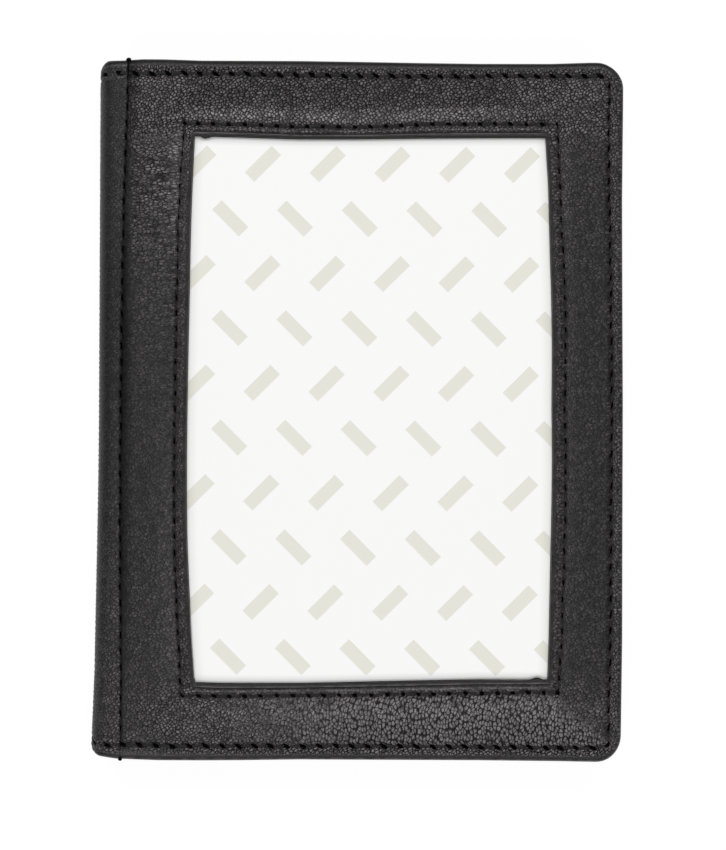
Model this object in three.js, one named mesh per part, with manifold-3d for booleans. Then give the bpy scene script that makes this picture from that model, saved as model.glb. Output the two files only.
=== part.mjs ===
// Passport cover: a padded leather book cover with a picture window in its front.
// It lies closed on its back. Millimetres, +X from spine to fore edge, +Y from foot to head, +Z up.
// Origin: the middle of the footprint, on the surface that the cover lies on.
// A cover is built in layers, and each layer's depth is counted from the crown of its padding inwards.
import * as THREE from "three";
import { mergeVertices } from "three/addons/utils/BufferGeometryUtils.js";
import Module from "manifold-3d";

// The closed cover
const coverHeight = 140;
const coverWidth = 105;
const passportGap = 4.4;
const foreCornerRadius = 5;
const spineCornerRadius = 1.6;
const foldRadius = 3.5;
const foldGap = 0.3;

// The layers of one cover, from the outside in
const padRise = 0.5;
const leatherThickness = 0.7;
const boardThickness = 0.6;
const turnInThickness = 0.4;
const liningThickness = 0.25;
const slotDepth = 0.4;
const flapThickness = 0.5;
const adhesiveThickness = 0.12;
const linerThickness = 0.12;
const glueLine = 0.05;

// The turned edges and the clearances of what lies between them
const turnInWidth = 6.5;
const softCorner = 0.5;
const spineEndTaper = 1.7;
const boardClearance = 0.3;
const liningSetback = 1.2;
const foamClearance = 0.3;

// The seams
const edgeSeamInset = 2.6;
const spineSeamInset = 4.6;
const windowSeamOutset = 2.7;
const grooveHalfWidth = 0.6;
const grooveDepth = 0.35;
const shoulderWidth = 3.5;
const padSetback = 1.4;
const stitchPitch = 3.15;
const threadDiameter = 0.45;
const threadClearance = 0.06;
const stitchRise = 0.13;

// The window, by the width of the leather at its corners; its long sides bow outwards
const spineBand = 19;
const foreBand = 15.4;
const headBand = 15.3;
const footBand = 15.8;
const windowCornerRadius = 0.8;
const windowSideBow = 1.1;
const lipDepth = 0.3;
const lipTurnIn = 5.5;
const linerClearance = 0.3;

// The pockets inside
const pocketWidth = 60;
const pocketSetback = 1;
const hemWidth = 6;

// How finely round stretches are divided
const cornerSteps = 5;
const longSideSteps = 8;
const shortSideSteps = 6;
const rollSteps = 4;
const shoulderSteps = 3;
const foldSteps = 4;
const samplesPerStitch = 2;

// Depths of the layers, and the planes of the cover's sides
const edgeDepth = padRise;
const leatherInside = edgeDepth + leatherThickness;
const boardDepth = leatherInside + glueLine;
const turnInDepth = boardDepth + boardThickness + glueLine;
const turnInInside = turnInDepth + turnInThickness;
const liningDepth = turnInInside + glueLine;
const hemDepth = liningDepth + liningThickness + glueLine;
const flapDepth = hemDepth + slotDepth + glueLine;
const flapInside = flapDepth + flapThickness;
const closedThickness = 2 * flapInside + passportGap;
const spineFace = -coverWidth / 2;
const foreEdge = coverWidth / 2;
const headEdge = coverHeight / 2;
const footEdge = -coverHeight / 2;
const windowSides = {
  left: spineFace + spineBand,
  right: foreEdge - foreBand,
  foot: footEdge + footBand,
  head: headEdge - headBand,
};
const { lerp } = THREE.MathUtils;
const quarterTurn = Math.PI / 2;

// The height of a depth, in the cover that lies below and in the one above it
const inBack = (depth) => depth;
const inFront = (depth) => closedThickness - depth;

const wasm = await Module();
wasm.setup();

// Finishes
const blackLeather = () => new THREE.MeshStandardMaterial({ color: 0x2f2d2e, roughness: 0.55 });
const pocketLeather = () => new THREE.MeshStandardMaterial({ color: 0x262526, roughness: 0.6 });
const liningCloth = () => new THREE.MeshStandardMaterial({ color: 0x1d1d1f, roughness: 0.9 });
const blackThread = () => new THREE.MeshStandardMaterial({ color: 0x1a1a1b, roughness: 0.65 });
const greyFoam = () => new THREE.MeshStandardMaterial({ color: 0x55565a, roughness: 0.95 });
const greyBoard = () => new THREE.MeshStandardMaterial({ color: 0x8c8880, roughness: 0.9 });
const clearAdhesive = () => new THREE.MeshStandardMaterial({ color: 0xe4e2d8, roughness: 0.3 });
const whitePaper = () => new THREE.MeshStandardMaterial({ color: 0xf7f7f6, roughness: 0.6 });

// A closed solid through loops with equal numbers of points. A ring joins its last loop
// to its first; otherwise each end is closed by a fan of triangles from its middle.
function loft(loops, isRing) {
  const count = loops[0].length;
  const vertices = loops.flat();
  const index = [];
  const spans = isRing ? loops.length : loops.length - 1;
  for (let span = 0; span < spans; span++) {
    const here = span * count;
    const there = ((span + 1) % loops.length) * count;
    for (let i = 0; i < count; i++) {
      const next = (i + 1) % count;
      index.push(here + i, here + next, there + next);
      index.push(here + i, there + next, there + i);
    }
  }
  if (!isRing) {
    const lastStart = vertices.length - count;
    const firstMiddle = vertices.push(middleOf(loops[0])) - 1;
    const lastMiddle = vertices.push(middleOf(loops.at(-1))) - 1;
    for (let i = 0; i < count; i++) {
      const next = (i + 1) % count;
      index.push(firstMiddle, next, i);
      index.push(lastMiddle, lastStart + i, lastStart + next);
    }
  }
  if (signedVolume(vertices, index) < 0) index.reverse();
  const geometry = new THREE.BufferGeometry().setFromPoints(vertices);
  geometry.setIndex(index);
  return geometry;
}

function middleOf(loop) {
  const sum = loop.reduce((total, point) => total.add(point), new THREE.Vector3());
  return sum.divideScalar(loop.length);
}

// Six times the volume inside the triangles, negative if they face inwards
function signedVolume(vertices, index) {
  const cross = new THREE.Vector3();
  let total = 0;
  for (let i = 0; i < index.length; i += 3) {
    cross.crossVectors(vertices[index[i + 1]], vertices[index[i + 2]]);
    total += vertices[index[i]].dot(cross);
  }
  return total;
}

// Points round a rectangle with rounded corners, anticlockwise from the spine's foot.
// spineShare is 1 along the spine side, falls to 0 round its corners and is 0 elsewhere.
function roundedPoints({ left, right, foot, head, foreRadius, spineRadius, bow }) {
  const [run, rise] = spineRadius;
  const corners = [
    { x: left + run, y: foot + rise, run, rise, from: Math.PI, share: Math.cos },
    { x: right - foreRadius, y: foot + foreRadius, run: foreRadius, rise: foreRadius, from: -quarterTurn },
    { x: right - foreRadius, y: head - foreRadius, run: foreRadius, rise: foreRadius, from: 0 },
    { x: left + run, y: head - rise, run, rise, from: quarterTurn, share: Math.sin },
  ];
  const sides = [
    { steps: shortSideSteps, bow: 0, spineShare: 0 },
    { steps: longSideSteps, bow, spineShare: 0 },
    { steps: shortSideSteps, bow: 0, spineShare: 0 },
    { steps: longSideSteps, bow: -bow, spineShare: 1 },
  ];
  const onArc = (corner, turn) => ({
    x: corner.x + corner.run * Math.cos(corner.from + turn),
    y: corner.y + corner.rise * Math.sin(corner.from + turn),
    spineShare: corner.share ? corner.share(turn) : 0,
  });
  const points = [];
  corners.forEach((corner, number) => {
    for (let i = 0; i <= cornerSteps; i++) points.push(onArc(corner, (quarterTurn * i) / cornerSteps));
    const start = points.at(-1);
    const end = onArc(corners[(number + 1) % corners.length], 0);
    const side = sides[number];
    for (let i = 1; i < side.steps; i++) {
      const t = i / side.steps;
      const swell = side.bow * 4 * t * (1 - t);
      points.push({
        x: lerp(start.x, end.x, t) + swell,
        y: lerp(start.y, end.y, t),
        spineShare: side.spineShare,
      });
    }
  });
  return points;
}

// A loop at one place of a cover's section: at edge along head, fore edge and foot, and at spine
// along the fold. Each place is its distance in from the outside, and its depth.
function edgeLoop({ edge, spine }, heightOf) {
  const points = roundedPoints({
    left: spineFace + spine.inset,
    right: foreEdge - edge.inset,
    foot: footEdge + edge.inset,
    head: headEdge - edge.inset,
    foreRadius: Math.max(foreCornerRadius - edge.inset, softCorner),
    spineRadius: [spineEndTaper, softCorner],
    bow: 0,
  });
  return points.map(
    ({ x, y, spineShare }) =>
      new THREE.Vector3(x, y, heightOf(lerp(edge.depth, spine.depth, spineShare))),
  );
}

function windowLoop({ outset, depth }, heightOf) {
  const points = roundedPoints({
    left: windowSides.left - outset,
    right: windowSides.right + outset,
    foot: windowSides.foot - outset,
    head: windowSides.head + outset,
    foreRadius: windowCornerRadius,
    spineRadius: [windowCornerRadius, windowCornerRadius],
    bow: windowSideBow,
  });
  return points.map(({ x, y }) => new THREE.Vector3(x, y, heightOf(depth)));
}

// A point of the leather's fold round the spine, seen along Y, at a turn from the cover's face
function foldPoint(radius, turn) {
  return {
    inset: foldRadius - radius * Math.sin(turn),
    depth: edgeDepth + foldRadius - radius * Math.cos(turn),
  };
}

const foldGapTurn = foldGap / 2 / foldRadius;
const coverFoldEnd = quarterTurn / 2 - foldGapTurn;
const spineFoldStart = quarterTurn / 2 + foldGapTurn;
const foldInnerRadius = foldRadius - leatherThickness;

// The rise of the padding from a seam, as distances from the seam and depths, seam first
function shoulder(seamDepth) {
  return Array.from({ length: shoulderSteps + 1 }, (_, i) => {
    const t = i / shoulderSteps;
    return {
      away: grooveHalfWidth + shoulderWidth * t,
      depth: seamDepth * (1 - Math.sin(quarterTurn * t)),
    };
  });
}

// A cover leather's section from the crown out over the seam, round the turned edge,
// back along the turn-in and under the padding. Along the spine it ends halfway round the fold.
function edgeLanes() {
  const lanes = shoulder(edgeDepth)
    .reverse()
    .map(({ away, depth }) => ({
      edge: { inset: edgeSeamInset + away, depth },
      spine: { inset: spineSeamInset + away, depth },
    }));
  const groove = [
    [0, edgeDepth + grooveDepth],
    [-grooveHalfWidth, edgeDepth],
  ];
  for (const [away, depth] of groove) {
    lanes.push({
      edge: { inset: edgeSeamInset + away, depth },
      spine: { inset: spineSeamInset + away, depth },
    });
  }
  const rollRadius = (turnInInside - edgeDepth) / 2;
  for (let i = 0; i <= rollSteps; i++) {
    const turn = (Math.PI * i) / rollSteps;
    lanes.push({
      edge: {
        inset: rollRadius * (1 - Math.sin(turn)),
        depth: edgeDepth + rollRadius * (1 - Math.cos(turn)),
      },
      spine: foldPoint(foldRadius, (coverFoldEnd * i) / rollSteps),
    });
  }
  const inside = [
    { inset: turnInWidth, depth: turnInInside },
    { inset: turnInWidth, depth: turnInDepth },
    { inset: leatherThickness, depth: turnInDepth },
    { inset: leatherThickness, depth: leatherInside },
  ];
  inside.forEach((edge, i) => {
    const turn = coverFoldEnd * (1 - i / (inside.length - 1));
    lanes.push({ edge, spine: foldPoint(foldInnerRadius, turn) });
  });
  for (const depth of [leatherInside, leatherThickness]) {
    lanes.push({
      edge: { inset: edgeSeamInset + padSetback, depth },
      spine: { inset: spineSeamInset + padSetback, depth },
    });
  }
  return lanes;
}

// The window lip's section, from under the padding round the turned lip and over its seam to the crown
function windowLanes() {
  const lanes = [
    { outset: lipTurnIn, depth: leatherThickness },
    { outset: lipTurnIn, depth: leatherInside },
  ];
  const lipRadius = (leatherInside - lipDepth) / 2;
  for (let i = rollSteps; i >= 0; i--) {
    const turn = (Math.PI * i) / rollSteps;
    lanes.push({
      outset: lipRadius * (1 - Math.sin(turn)),
      depth: lipDepth + lipRadius * (1 - Math.cos(turn)),
    });
  }
  lanes.push({ outset: windowSeamOutset - grooveHalfWidth, depth: lipDepth });
  lanes.push({ outset: windowSeamOutset, depth: lipDepth + grooveDepth });
  for (const { away, depth } of shoulder(lipDepth)) {
    lanes.push({ outset: windowSeamOutset + away, depth });
  }
  return lanes;
}

function backLeather() {
  return loft(
    edgeLanes().map((lane) => edgeLoop(lane, inBack)),
    false,
  );
}

function frontLeather() {
  const outer = edgeLanes().map((lane) => edgeLoop(lane, inFront));
  const inner = windowLanes().map((lane) => windowLoop(lane, inFront));
  return loft([...outer, ...inner], true);
}

// A panel's outline with round corners at the fore edge, and its spine side at left
function panelShape(inset, left) {
  const right = foreEdge - inset;
  const head = headEdge - inset;
  const foot = footEdge + inset;
  const radius = Math.max(foreCornerRadius - inset, softCorner);
  const shape = new THREE.Shape();
  shape.moveTo(left, foot);
  shape.lineTo(right - radius, foot);
  shape.absarc(right - radius, foot + radius, radius, -quarterTurn, 0);
  shape.lineTo(right, head - radius);
  shape.absarc(right - radius, head - radius, radius, 0, quarterTurn);
  shape.lineTo(left, head);
  shape.closePath();
  return shape;
}

// The window's outline moved outwards, with the bow of its long sides
function windowOutline(outset, Outline) {
  const left = windowSides.left - outset;
  const right = windowSides.right + outset;
  const foot = windowSides.foot - outset;
  const head = windowSides.head + outset;
  const middle = (foot + head) / 2;
  const pull = 2 * windowSideBow;
  const outline = new Outline();
  outline.moveTo(left, foot);
  outline.lineTo(right, foot);
  outline.quadraticCurveTo(right + pull, middle, right, head);
  outline.lineTo(left, head);
  outline.quadraticCurveTo(left - pull, middle, left, foot);
  return outline;
}

// A flat piece between two depths of a cover
function plate(shape, outerDepth, innerDepth, heightOf) {
  const geometry = new THREE.ExtrudeGeometry(shape, {
    depth: innerDepth - outerDepth,
    curveSegments: cornerSteps,
    bevelEnabled: false,
  });
  geometry.translate(0, 0, Math.min(heightOf(outerDepth), heightOf(innerDepth)));
  return geometry;
}

// The board ends clear of the fold and of the tapered ends of the turned edges
function coverBoard(heightOf) {
  const left = spineFace + foldRadius + spineEndTaper + boardClearance;
  const shape = panelShape(leatherThickness + boardClearance, left);
  return plate(shape, boardDepth, boardDepth + boardThickness, heightOf);
}

function coverLining(heightOf) {
  const shape = panelShape(liningSetback, spineFace + foldRadius + boardClearance);
  return plate(shape, liningDepth, liningDepth + liningThickness, heightOf);
}

function foamShape() {
  const inset = edgeSeamInset + padSetback + foamClearance;
  return panelShape(inset, spineFace + spineSeamInset + padSetback + foamClearance);
}

function coverFoam(shape, heightOf) {
  return plate(shape, leatherThickness + glueLine, leatherInside, heightOf);
}

function frontFoamShape() {
  const shape = foamShape();
  shape.holes.push(windowOutline(lipTurnIn + foamClearance, THREE.Path));
  return shape;
}

const pocketMouth = foreEdge - pocketWidth;

// The seam allowance of a pocket: a strip along head, fore edge and foot
function pocketHem(heightOf) {
  const shape = panelShape(pocketSetback, pocketMouth);
  const inside = pocketSetback + hemWidth;
  const points = shape.getPoints(cornerSteps).slice(0, -1);
  points.push(new THREE.Vector2(pocketMouth, headEdge - inside));
  points.push(new THREE.Vector2(foreEdge - inside, headEdge - inside));
  points.push(new THREE.Vector2(foreEdge - inside, footEdge + inside));
  points.push(new THREE.Vector2(pocketMouth, footEdge + inside));
  return plate(new THREE.Shape(points), hemDepth, hemDepth + slotDepth, heightOf);
}

function pocketFlap(heightOf) {
  return plate(panelShape(pocketSetback, pocketMouth), flapDepth, flapInside, heightOf);
}

// A strip round the spine from fold to fold, between two radii, seen along Y
function spineStrip(outerRadius, innerRadius, height) {
  const arc = (radius) =>
    Array.from({ length: foldSteps + 1 }, (_, i) =>
      foldPoint(radius, lerp(spineFoldStart, quarterTurn, i / foldSteps)),
    );
  const below = ({ inset, depth }) => new THREE.Vector2(spineFace + inset, inBack(depth));
  const above = ({ inset, depth }) => new THREE.Vector2(spineFace + inset, inFront(depth));
  const outer = arc(outerRadius);
  const inner = arc(innerRadius);
  const shape = new THREE.Shape([
    ...outer.map(below),
    ...outer.map(above).reverse(),
    ...inner.map(above),
    ...inner.map(below).reverse(),
  ]);
  const geometry = new THREE.ExtrudeGeometry(shape, { depth: height, bevelEnabled: false });
  geometry.rotateX(quarterTurn);
  geometry.translate(0, height / 2, 0);
  return geometry;
}

// The spine's leather, with the corners of its head and foot rounded off
function spineLeather() {
  const strip = spineStrip(foldRadius, foldInnerRadius, coverHeight);
  const shape = new THREE.Shape();
  shape.moveTo(0, footEdge);
  shape.lineTo(0, headEdge);
  shape.lineTo(spineFace + spineCornerRadius, headEdge);
  const corner = spineFace + spineCornerRadius;
  shape.absarc(corner, headEdge - spineCornerRadius, spineCornerRadius, quarterTurn, Math.PI);
  shape.absarc(corner, footEdge + spineCornerRadius, spineCornerRadius, Math.PI, 3 * quarterTurn);
  const block = new THREE.ExtrudeGeometry(shape, {
    depth: closedThickness,
    curveSegments: cornerSteps,
    bevelEnabled: false,
  });
  return fromSolid(toSolid(strip).intersect(toSolid(block)));
}

function toSolid(geometry) {
  const bare = geometry.clone();
  bare.deleteAttribute("normal");
  bare.deleteAttribute("uv");
  const merged = mergeVertices(bare);
  return new wasm.Manifold(
    new wasm.Mesh({
      numProp: 3,
      vertProperties: new Float32Array(merged.attributes.position.array),
      triVerts: new Uint32Array(merged.index.array),
    }),
  );
}

function fromSolid(solid) {
  const mesh = solid.getMesh();
  const geometry = new THREE.BufferGeometry();
  geometry.setAttribute("position", new THREE.BufferAttribute(mesh.vertProperties, mesh.numProp));
  geometry.setIndex(new THREE.BufferAttribute(mesh.triVerts, 1));
  return geometry;
}

function spineLining() {
  const outerRadius = foldInnerRadius - glueLine;
  const height = coverHeight - 2 * (turnInWidth + boardClearance);
  return spineStrip(outerRadius, outerRadius - liningThickness, height);
}

// Sewing thread along a seam. It dips at each needle hole and rises between two of them.
function thread(points, isRing, seamDepth, heightOf) {
  const radius = threadDiameter / 2;
  const holeDepth = seamDepth + grooveDepth - threadClearance - radius;
  const loops = points.map((point, i) => {
    const before = points[isRing ? (i + points.length - 1) % points.length : Math.max(i - 1, 0)];
    const after = points[isRing ? (i + 1) % points.length : Math.min(i + 1, points.length - 1)];
    const along = new THREE.Vector2().subVectors(after, before).normalize();
    const depth = holeDepth - (i % samplesPerStitch === 0 ? 0 : stitchRise);
    const at = (side, up) =>
      new THREE.Vector3(
        point.x - along.y * side * radius,
        point.y + along.x * side * radius,
        heightOf(depth) + up * radius,
      );
    return [at(1, 0), at(0, 1), at(-1, 0), at(0, -1)];
  });
  return loft(loops, isRing);
}

// Points along a curve that divide it into whole stitches
function stitchPoints(curve) {
  const stitches = Math.round(curve.getLength() / stitchPitch);
  return curve.getSpacedPoints(stitches * samplesPerStitch);
}

function edgeThread(heightOf) {
  const start = spineFace + spineSeamInset + spineEndTaper + threadDiameter;
  const right = foreEdge - edgeSeamInset;
  const head = headEdge - edgeSeamInset;
  const foot = footEdge + edgeSeamInset;
  const radius = Math.max(foreCornerRadius - edgeSeamInset, softCorner);
  const seam = new THREE.Path();
  seam.moveTo(start, foot);
  seam.lineTo(right - radius, foot);
  seam.absarc(right - radius, foot + radius, radius, -quarterTurn, 0);
  seam.lineTo(right, head - radius);
  seam.absarc(right - radius, head - radius, radius, 0, quarterTurn);
  seam.lineTo(start, head);
  return thread(stitchPoints(seam), false, edgeDepth, heightOf);
}

function spineThread(heightOf) {
  const x = spineFace + spineSeamInset;
  const reach = headEdge - edgeSeamInset - softCorner - threadDiameter;
  const seam = new THREE.LineCurve(new THREE.Vector2(x, -reach), new THREE.Vector2(x, reach));
  return thread(stitchPoints(seam), false, edgeDepth, heightOf);
}

function windowThread(heightOf) {
  const sides = windowOutline(windowSeamOutset, THREE.Path).curves;
  const points = sides.flatMap((side) => stitchPoints(side).slice(0, -1));
  return thread(points, true, lipDepth, heightOf);
}

// The adhesive sheet lies on the board in the window, and the liner lies on the sheet
const adhesiveDepth = boardDepth - glueLine - adhesiveThickness;
const linerDepth = adhesiveDepth - glueLine - linerThickness;

function adhesiveSheet() {
  const shape = windowOutline(-linerClearance, THREE.Shape);
  return plate(shape, adhesiveDepth, adhesiveDepth + adhesiveThickness, inFront);
}

function releaseLiner() {
  const shape = windowOutline(-linerClearance, THREE.Shape);
  return plate(shape, linerDepth, linerDepth + linerThickness, inFront);
}

function piece(name, geometry, material) {
  const mesh = new THREE.Mesh(geometry, material);
  mesh.name = name;
  return mesh;
}

const backCover = new THREE.Group();
backCover.add(
  piece("back_leather", backLeather(), blackLeather()),
  piece("back_foam", coverFoam(foamShape(), inBack), greyFoam()),
  piece("back_board", coverBoard(inBack), greyBoard()),
  piece("back_lining", coverLining(inBack), liningCloth()),
  piece("back_pocket_hem", pocketHem(inBack), pocketLeather()),
  piece("back_pocket_flap", pocketFlap(inBack), pocketLeather()),
  piece("back_edge_thread", edgeThread(inBack), blackThread()),
  piece("back_spine_thread", spineThread(inBack), blackThread()),
);

const spine = new THREE.Group();
spine.add(
  piece("spine_leather", spineLeather(), blackLeather()),
  piece("spine_lining", spineLining(), liningCloth()),
);

const frontCover = new THREE.Group();
frontCover.add(
  piece("front_leather", frontLeather(), blackLeather()),
  piece("front_foam", coverFoam(frontFoamShape(), inFront), greyFoam()),
  piece("front_board", coverBoard(inFront), greyBoard()),
  piece("adhesive_sheet", adhesiveSheet(), clearAdhesive()),
  piece("release_liner", releaseLiner(), whitePaper()),
  piece("front_lining", coverLining(inFront), liningCloth()),
  piece("front_pocket_hem", pocketHem(inFront), pocketLeather()),
  piece("front_pocket_flap", pocketFlap(inFront), pocketLeather()),
  piece("front_edge_thread", edgeThread(inFront), blackThread()),
  piece("window_thread", windowThread(inFront), blackThread()),
  piece("front_spine_thread", spineThread(inFront), blackThread()),
);

const passportCover = new THREE.Group();
passportCover.add(backCover, spine, frontCover);

export default passportCover;
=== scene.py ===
# %% [markdown]
# # A leather cover for a travel document
# The real thing is two stiff boards dressed in padded black leather and joined by a leather
# spine that folds like a book's. The front has a picture window: a leather frame with a turned
# lip, and under it a sheet of double-sided film that still wears its paper liner.
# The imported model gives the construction, so it is loaded first and its box is kept. Everything
# the loader selected is deselected, because an operator acts on all that is selected.

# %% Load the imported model
import math

import bpy
import numpy as np
from mathutils import Matrix, Vector, noise


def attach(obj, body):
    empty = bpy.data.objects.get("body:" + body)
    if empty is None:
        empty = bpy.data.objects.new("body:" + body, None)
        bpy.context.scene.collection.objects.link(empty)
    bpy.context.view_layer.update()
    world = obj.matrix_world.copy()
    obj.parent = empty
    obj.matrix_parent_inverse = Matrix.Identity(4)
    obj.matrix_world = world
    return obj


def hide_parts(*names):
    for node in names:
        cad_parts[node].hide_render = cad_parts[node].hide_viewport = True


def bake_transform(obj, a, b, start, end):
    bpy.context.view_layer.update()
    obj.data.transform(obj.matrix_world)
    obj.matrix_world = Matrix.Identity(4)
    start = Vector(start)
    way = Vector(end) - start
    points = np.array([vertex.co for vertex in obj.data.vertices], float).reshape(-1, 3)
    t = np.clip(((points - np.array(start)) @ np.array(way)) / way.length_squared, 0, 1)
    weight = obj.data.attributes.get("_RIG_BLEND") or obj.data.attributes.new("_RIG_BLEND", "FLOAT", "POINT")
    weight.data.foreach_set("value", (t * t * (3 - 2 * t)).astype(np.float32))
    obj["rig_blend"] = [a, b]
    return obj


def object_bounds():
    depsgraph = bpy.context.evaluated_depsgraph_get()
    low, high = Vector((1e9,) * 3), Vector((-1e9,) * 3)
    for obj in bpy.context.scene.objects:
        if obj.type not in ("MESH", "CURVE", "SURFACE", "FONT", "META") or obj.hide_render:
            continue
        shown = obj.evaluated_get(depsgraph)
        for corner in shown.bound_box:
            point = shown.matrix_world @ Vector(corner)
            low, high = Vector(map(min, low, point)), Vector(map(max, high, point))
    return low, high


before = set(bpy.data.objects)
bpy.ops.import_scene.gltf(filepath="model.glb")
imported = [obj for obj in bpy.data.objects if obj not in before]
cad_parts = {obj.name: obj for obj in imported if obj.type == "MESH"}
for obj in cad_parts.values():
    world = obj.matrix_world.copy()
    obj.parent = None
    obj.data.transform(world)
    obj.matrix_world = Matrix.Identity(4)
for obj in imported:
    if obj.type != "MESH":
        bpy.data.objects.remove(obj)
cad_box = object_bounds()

bpy.ops.object.select_all(action="DESELECT")

# %% [markdown]
# Leather goods are measured in millimetres, so the sizes below are too, and they are turned into
# metres only when a mesh is made. The outer sizes could be typed in, but they are taken from the
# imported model's box, so that the two cannot drift apart. "Lift" is a height above the level of
# the cover's edge, measured outwards from the leather.

# %% Sizes of the cover
MM = 0.001
box_low, box_high = (np.array(corner) / MM for corner in cad_box)
spine_face, foot_edge = box_low[0], box_low[1]
fore_edge, head_edge, thickness = box_high
mid_thickness = thickness / 2
pad_rise = 0.5
edge_level = thickness - pad_rise
leather_thick = 0.7
fore_radius = 5.0
spine_end_radius = 1.6
fold_radius = 3.5
fold_start = spine_face + fold_radius
fold_arc = fold_radius * math.pi / 2
wall_run = edge_level - fold_radius - mid_thickness
print("cover", fore_edge - spine_face, "x", head_edge - foot_edge, "x", thickness, "mm")

# %% [markdown]
# The photograph looks straight down on the closed cover, turned a hair clockwise. A wide lens close
# by would make its sides lean, so a long lens far above it keeps them parallel.

# %% Camera
view_height = 170.5
lens = 100.0
sensor = 36.0
near_clip = 0.01
camera_turn = math.radians(0.3)
camera_place = (0.86, -2.85)
camera_height = edge_level + view_height * lens / sensor
bpy.ops.object.camera_add(
    location=(camera_place[0] * MM, camera_place[1] * MM, camera_height * MM),
    rotation=(0, 0, camera_turn),
)
camera = bpy.context.object
camera.data.lens = lens
camera.data.sensor_width = sensor
camera.data.clip_start = near_clip
bpy.context.scene.camera = camera
print("camera", round(camera_height), "mm above the floor")

# %% [markdown]
# A material here is a small tree of nodes, and the same few lines would be written for each of
# them. `grow` adds one node: what it is given for a socket is either a plain value or the socket
# of another node, which is then linked.

# %% Node helper
def grow(material, kind, sockets=None, **settings):
    """Adds a node to a material, sets its settings, and sets or links its input sockets."""
    made = material.node_tree.nodes.new("ShaderNode" + kind)
    for name, value in settings.items():
        setattr(made, name, value)
    for name, value in (sockets or {}).items():
        socket = made.inputs[name]
        if isinstance(value, bpy.types.NodeSocket):
            material.node_tree.links.new(value, socket)
        else:
            socket.default_value = value
    return made


def new_material(name):
    """A material with an empty node tree and its output node."""
    material = bpy.data.materials.new(name)
    material.use_nodes = True
    material.node_tree.nodes.clear()
    return material, grow(material, "OutputMaterial")


def finish_material(material, output, shader):
    """Joins a shader to the material's output."""
    material.node_tree.links.new(shader.outputs[0], output.inputs["Surface"])
    return material


def grey(value):
    """An even grey as a colour, from its linear value."""
    return (value, value, value, 1)


def dress(obj, material):
    """Gives an object one material all over."""
    obj.data.materials.clear()
    obj.data.materials.append(material)


print("materials that came with the packed model:", len(bpy.data.materials))

# %% [markdown]
# The studio is a white table. Light strong enough to burn a plain table to white would also wash
# out the black leather. So the table glows a little to the camera and in reflections, and the rest
# of it is an ordinary pale surface that takes the cover's shadow. A low wall of the same white
# stands round the table's edge for views from the side. Only the camera sees it, so it changes no
# light.

# %% Table
table_size = 6.0
wall_height = 2.0
wall_sides = 64
table_glow = 0.88
glow_strength = 1.05
table_grey = 0.9


def table_material(glow):
    """White table that glows for the camera and still takes shadows."""
    material, output = new_material("table_white")
    rays = grow(material, "LightPath").outputs
    seen = rays["Is Camera Ray"]
    for ray in ("Is Glossy Ray", "Is Transmission Ray"):
        seen = grow(material, "Math", {0: seen, 1: rays[ray]}, operation="MAXIMUM").outputs[0]
    share = grow(material, "Math", {0: seen, 1: glow}, operation="MULTIPLY").outputs[0]
    pale = grow(material, "BsdfDiffuse", {"Color": grey(table_grey)}).outputs[0]
    white = grow(material, "Emission", {"Color": grey(1.0), "Strength": glow_strength}).outputs[0]
    mix = grow(material, "MixShader", {0: share, 1: pale, 2: white})
    return finish_material(material, output, mix)


table_white = table_material(table_glow)
bpy.ops.mesh.primitive_plane_add(size=table_size)
table = bpy.context.object
table.name = "table"
bpy.ops.mesh.primitive_cylinder_add(
    vertices=wall_sides, radius=table_size / 2, depth=wall_height,
    end_fill_type="NOTHING", location=(0, 0, wall_height / 2),
)
wall = bpy.context.object
wall.name = "low_wall"
wall.visible_diffuse = wall.visible_glossy = wall.visible_shadow = False
for stage in (table, wall):
    dress(stage, table_white)
print("table", table_size, "m wide, with a wall", wall_height, "m high")

# %% [markdown]
# One lamp would leave one side of every ridge black. In the photograph both the head and the foot
# of the padding shine, so two long soft boxes stand at the two ends, and the world fills in evenly
# from above.

# %% Light
world_strength = 0.2
lamp_distance, lamp_height = 0.5, 0.68
lamp_width, lamp_depth = 1.2, 0.22
lamp_watts = {"head_light": 4.9, "foot_light": 4.3}

world = bpy.data.worlds.new("even_light")
world.use_nodes = True
bpy.context.scene.world = world
sky = world.node_tree.nodes["Background"]
sky.inputs["Color"].default_value = grey(1.0)
sky.inputs["Strength"].default_value = world_strength


def soft_box(name, y, watts):
    """A long area light that looks at the cover from one end."""
    place = (0, y, lamp_height)
    bpy.ops.object.light_add(type="AREA", location=place)
    lamp = bpy.context.object
    lamp.name = name
    lamp.data.shape = "RECTANGLE"
    lamp.data.size = lamp_width
    lamp.data.size_y = lamp_depth
    lamp.data.energy = watts
    lamp.rotation_euler = Vector(place).to_track_quat("Z", "Y").to_euler()
    lamp.visible_camera = False


soft_box("head_light", lamp_distance, lamp_watts["head_light"])
soft_box("foot_light", -lamp_distance, lamp_watts["foot_light"])
bpy.context.scene.view_settings.view_transform = "Standard"
bpy.ops.object.select_all(action="DESELECT")
print("watts of the lamps:", lamp_watts)

# %% [markdown]
# Leather has no sharp corners, so its heights are drawn with a few small curves: an eased rise or
# fall, a bell, and a mix of two values. They work on whole arrays of points at once, which is
# quicker than moving points one by one. Starts, middles and widths are in millimetres.

# %% Curves for soft shapes
def smooth(t):
    """Eases from 0 to 1."""
    t = np.clip(t, 0, 1)
    return t * t * (3 - 2 * t)


def rise(value, start, width):
    """Eases from 0 to 1 while a value goes up from a start through a width."""
    return smooth((value - start) / width)


def fall(value, start, width):
    """Eases from 0 to 1 while a value goes down from a start through a width."""
    return smooth((start - value) / width)


def bell(value, middle, width):
    """A hump of height 1 about a middle."""
    return np.exp(-(((value - middle) / width) ** 2))


def mixed(share, first, second):
    """Goes from the first value to the second while the share goes from 0 to 1."""
    return first + (second - first) * share


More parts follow.
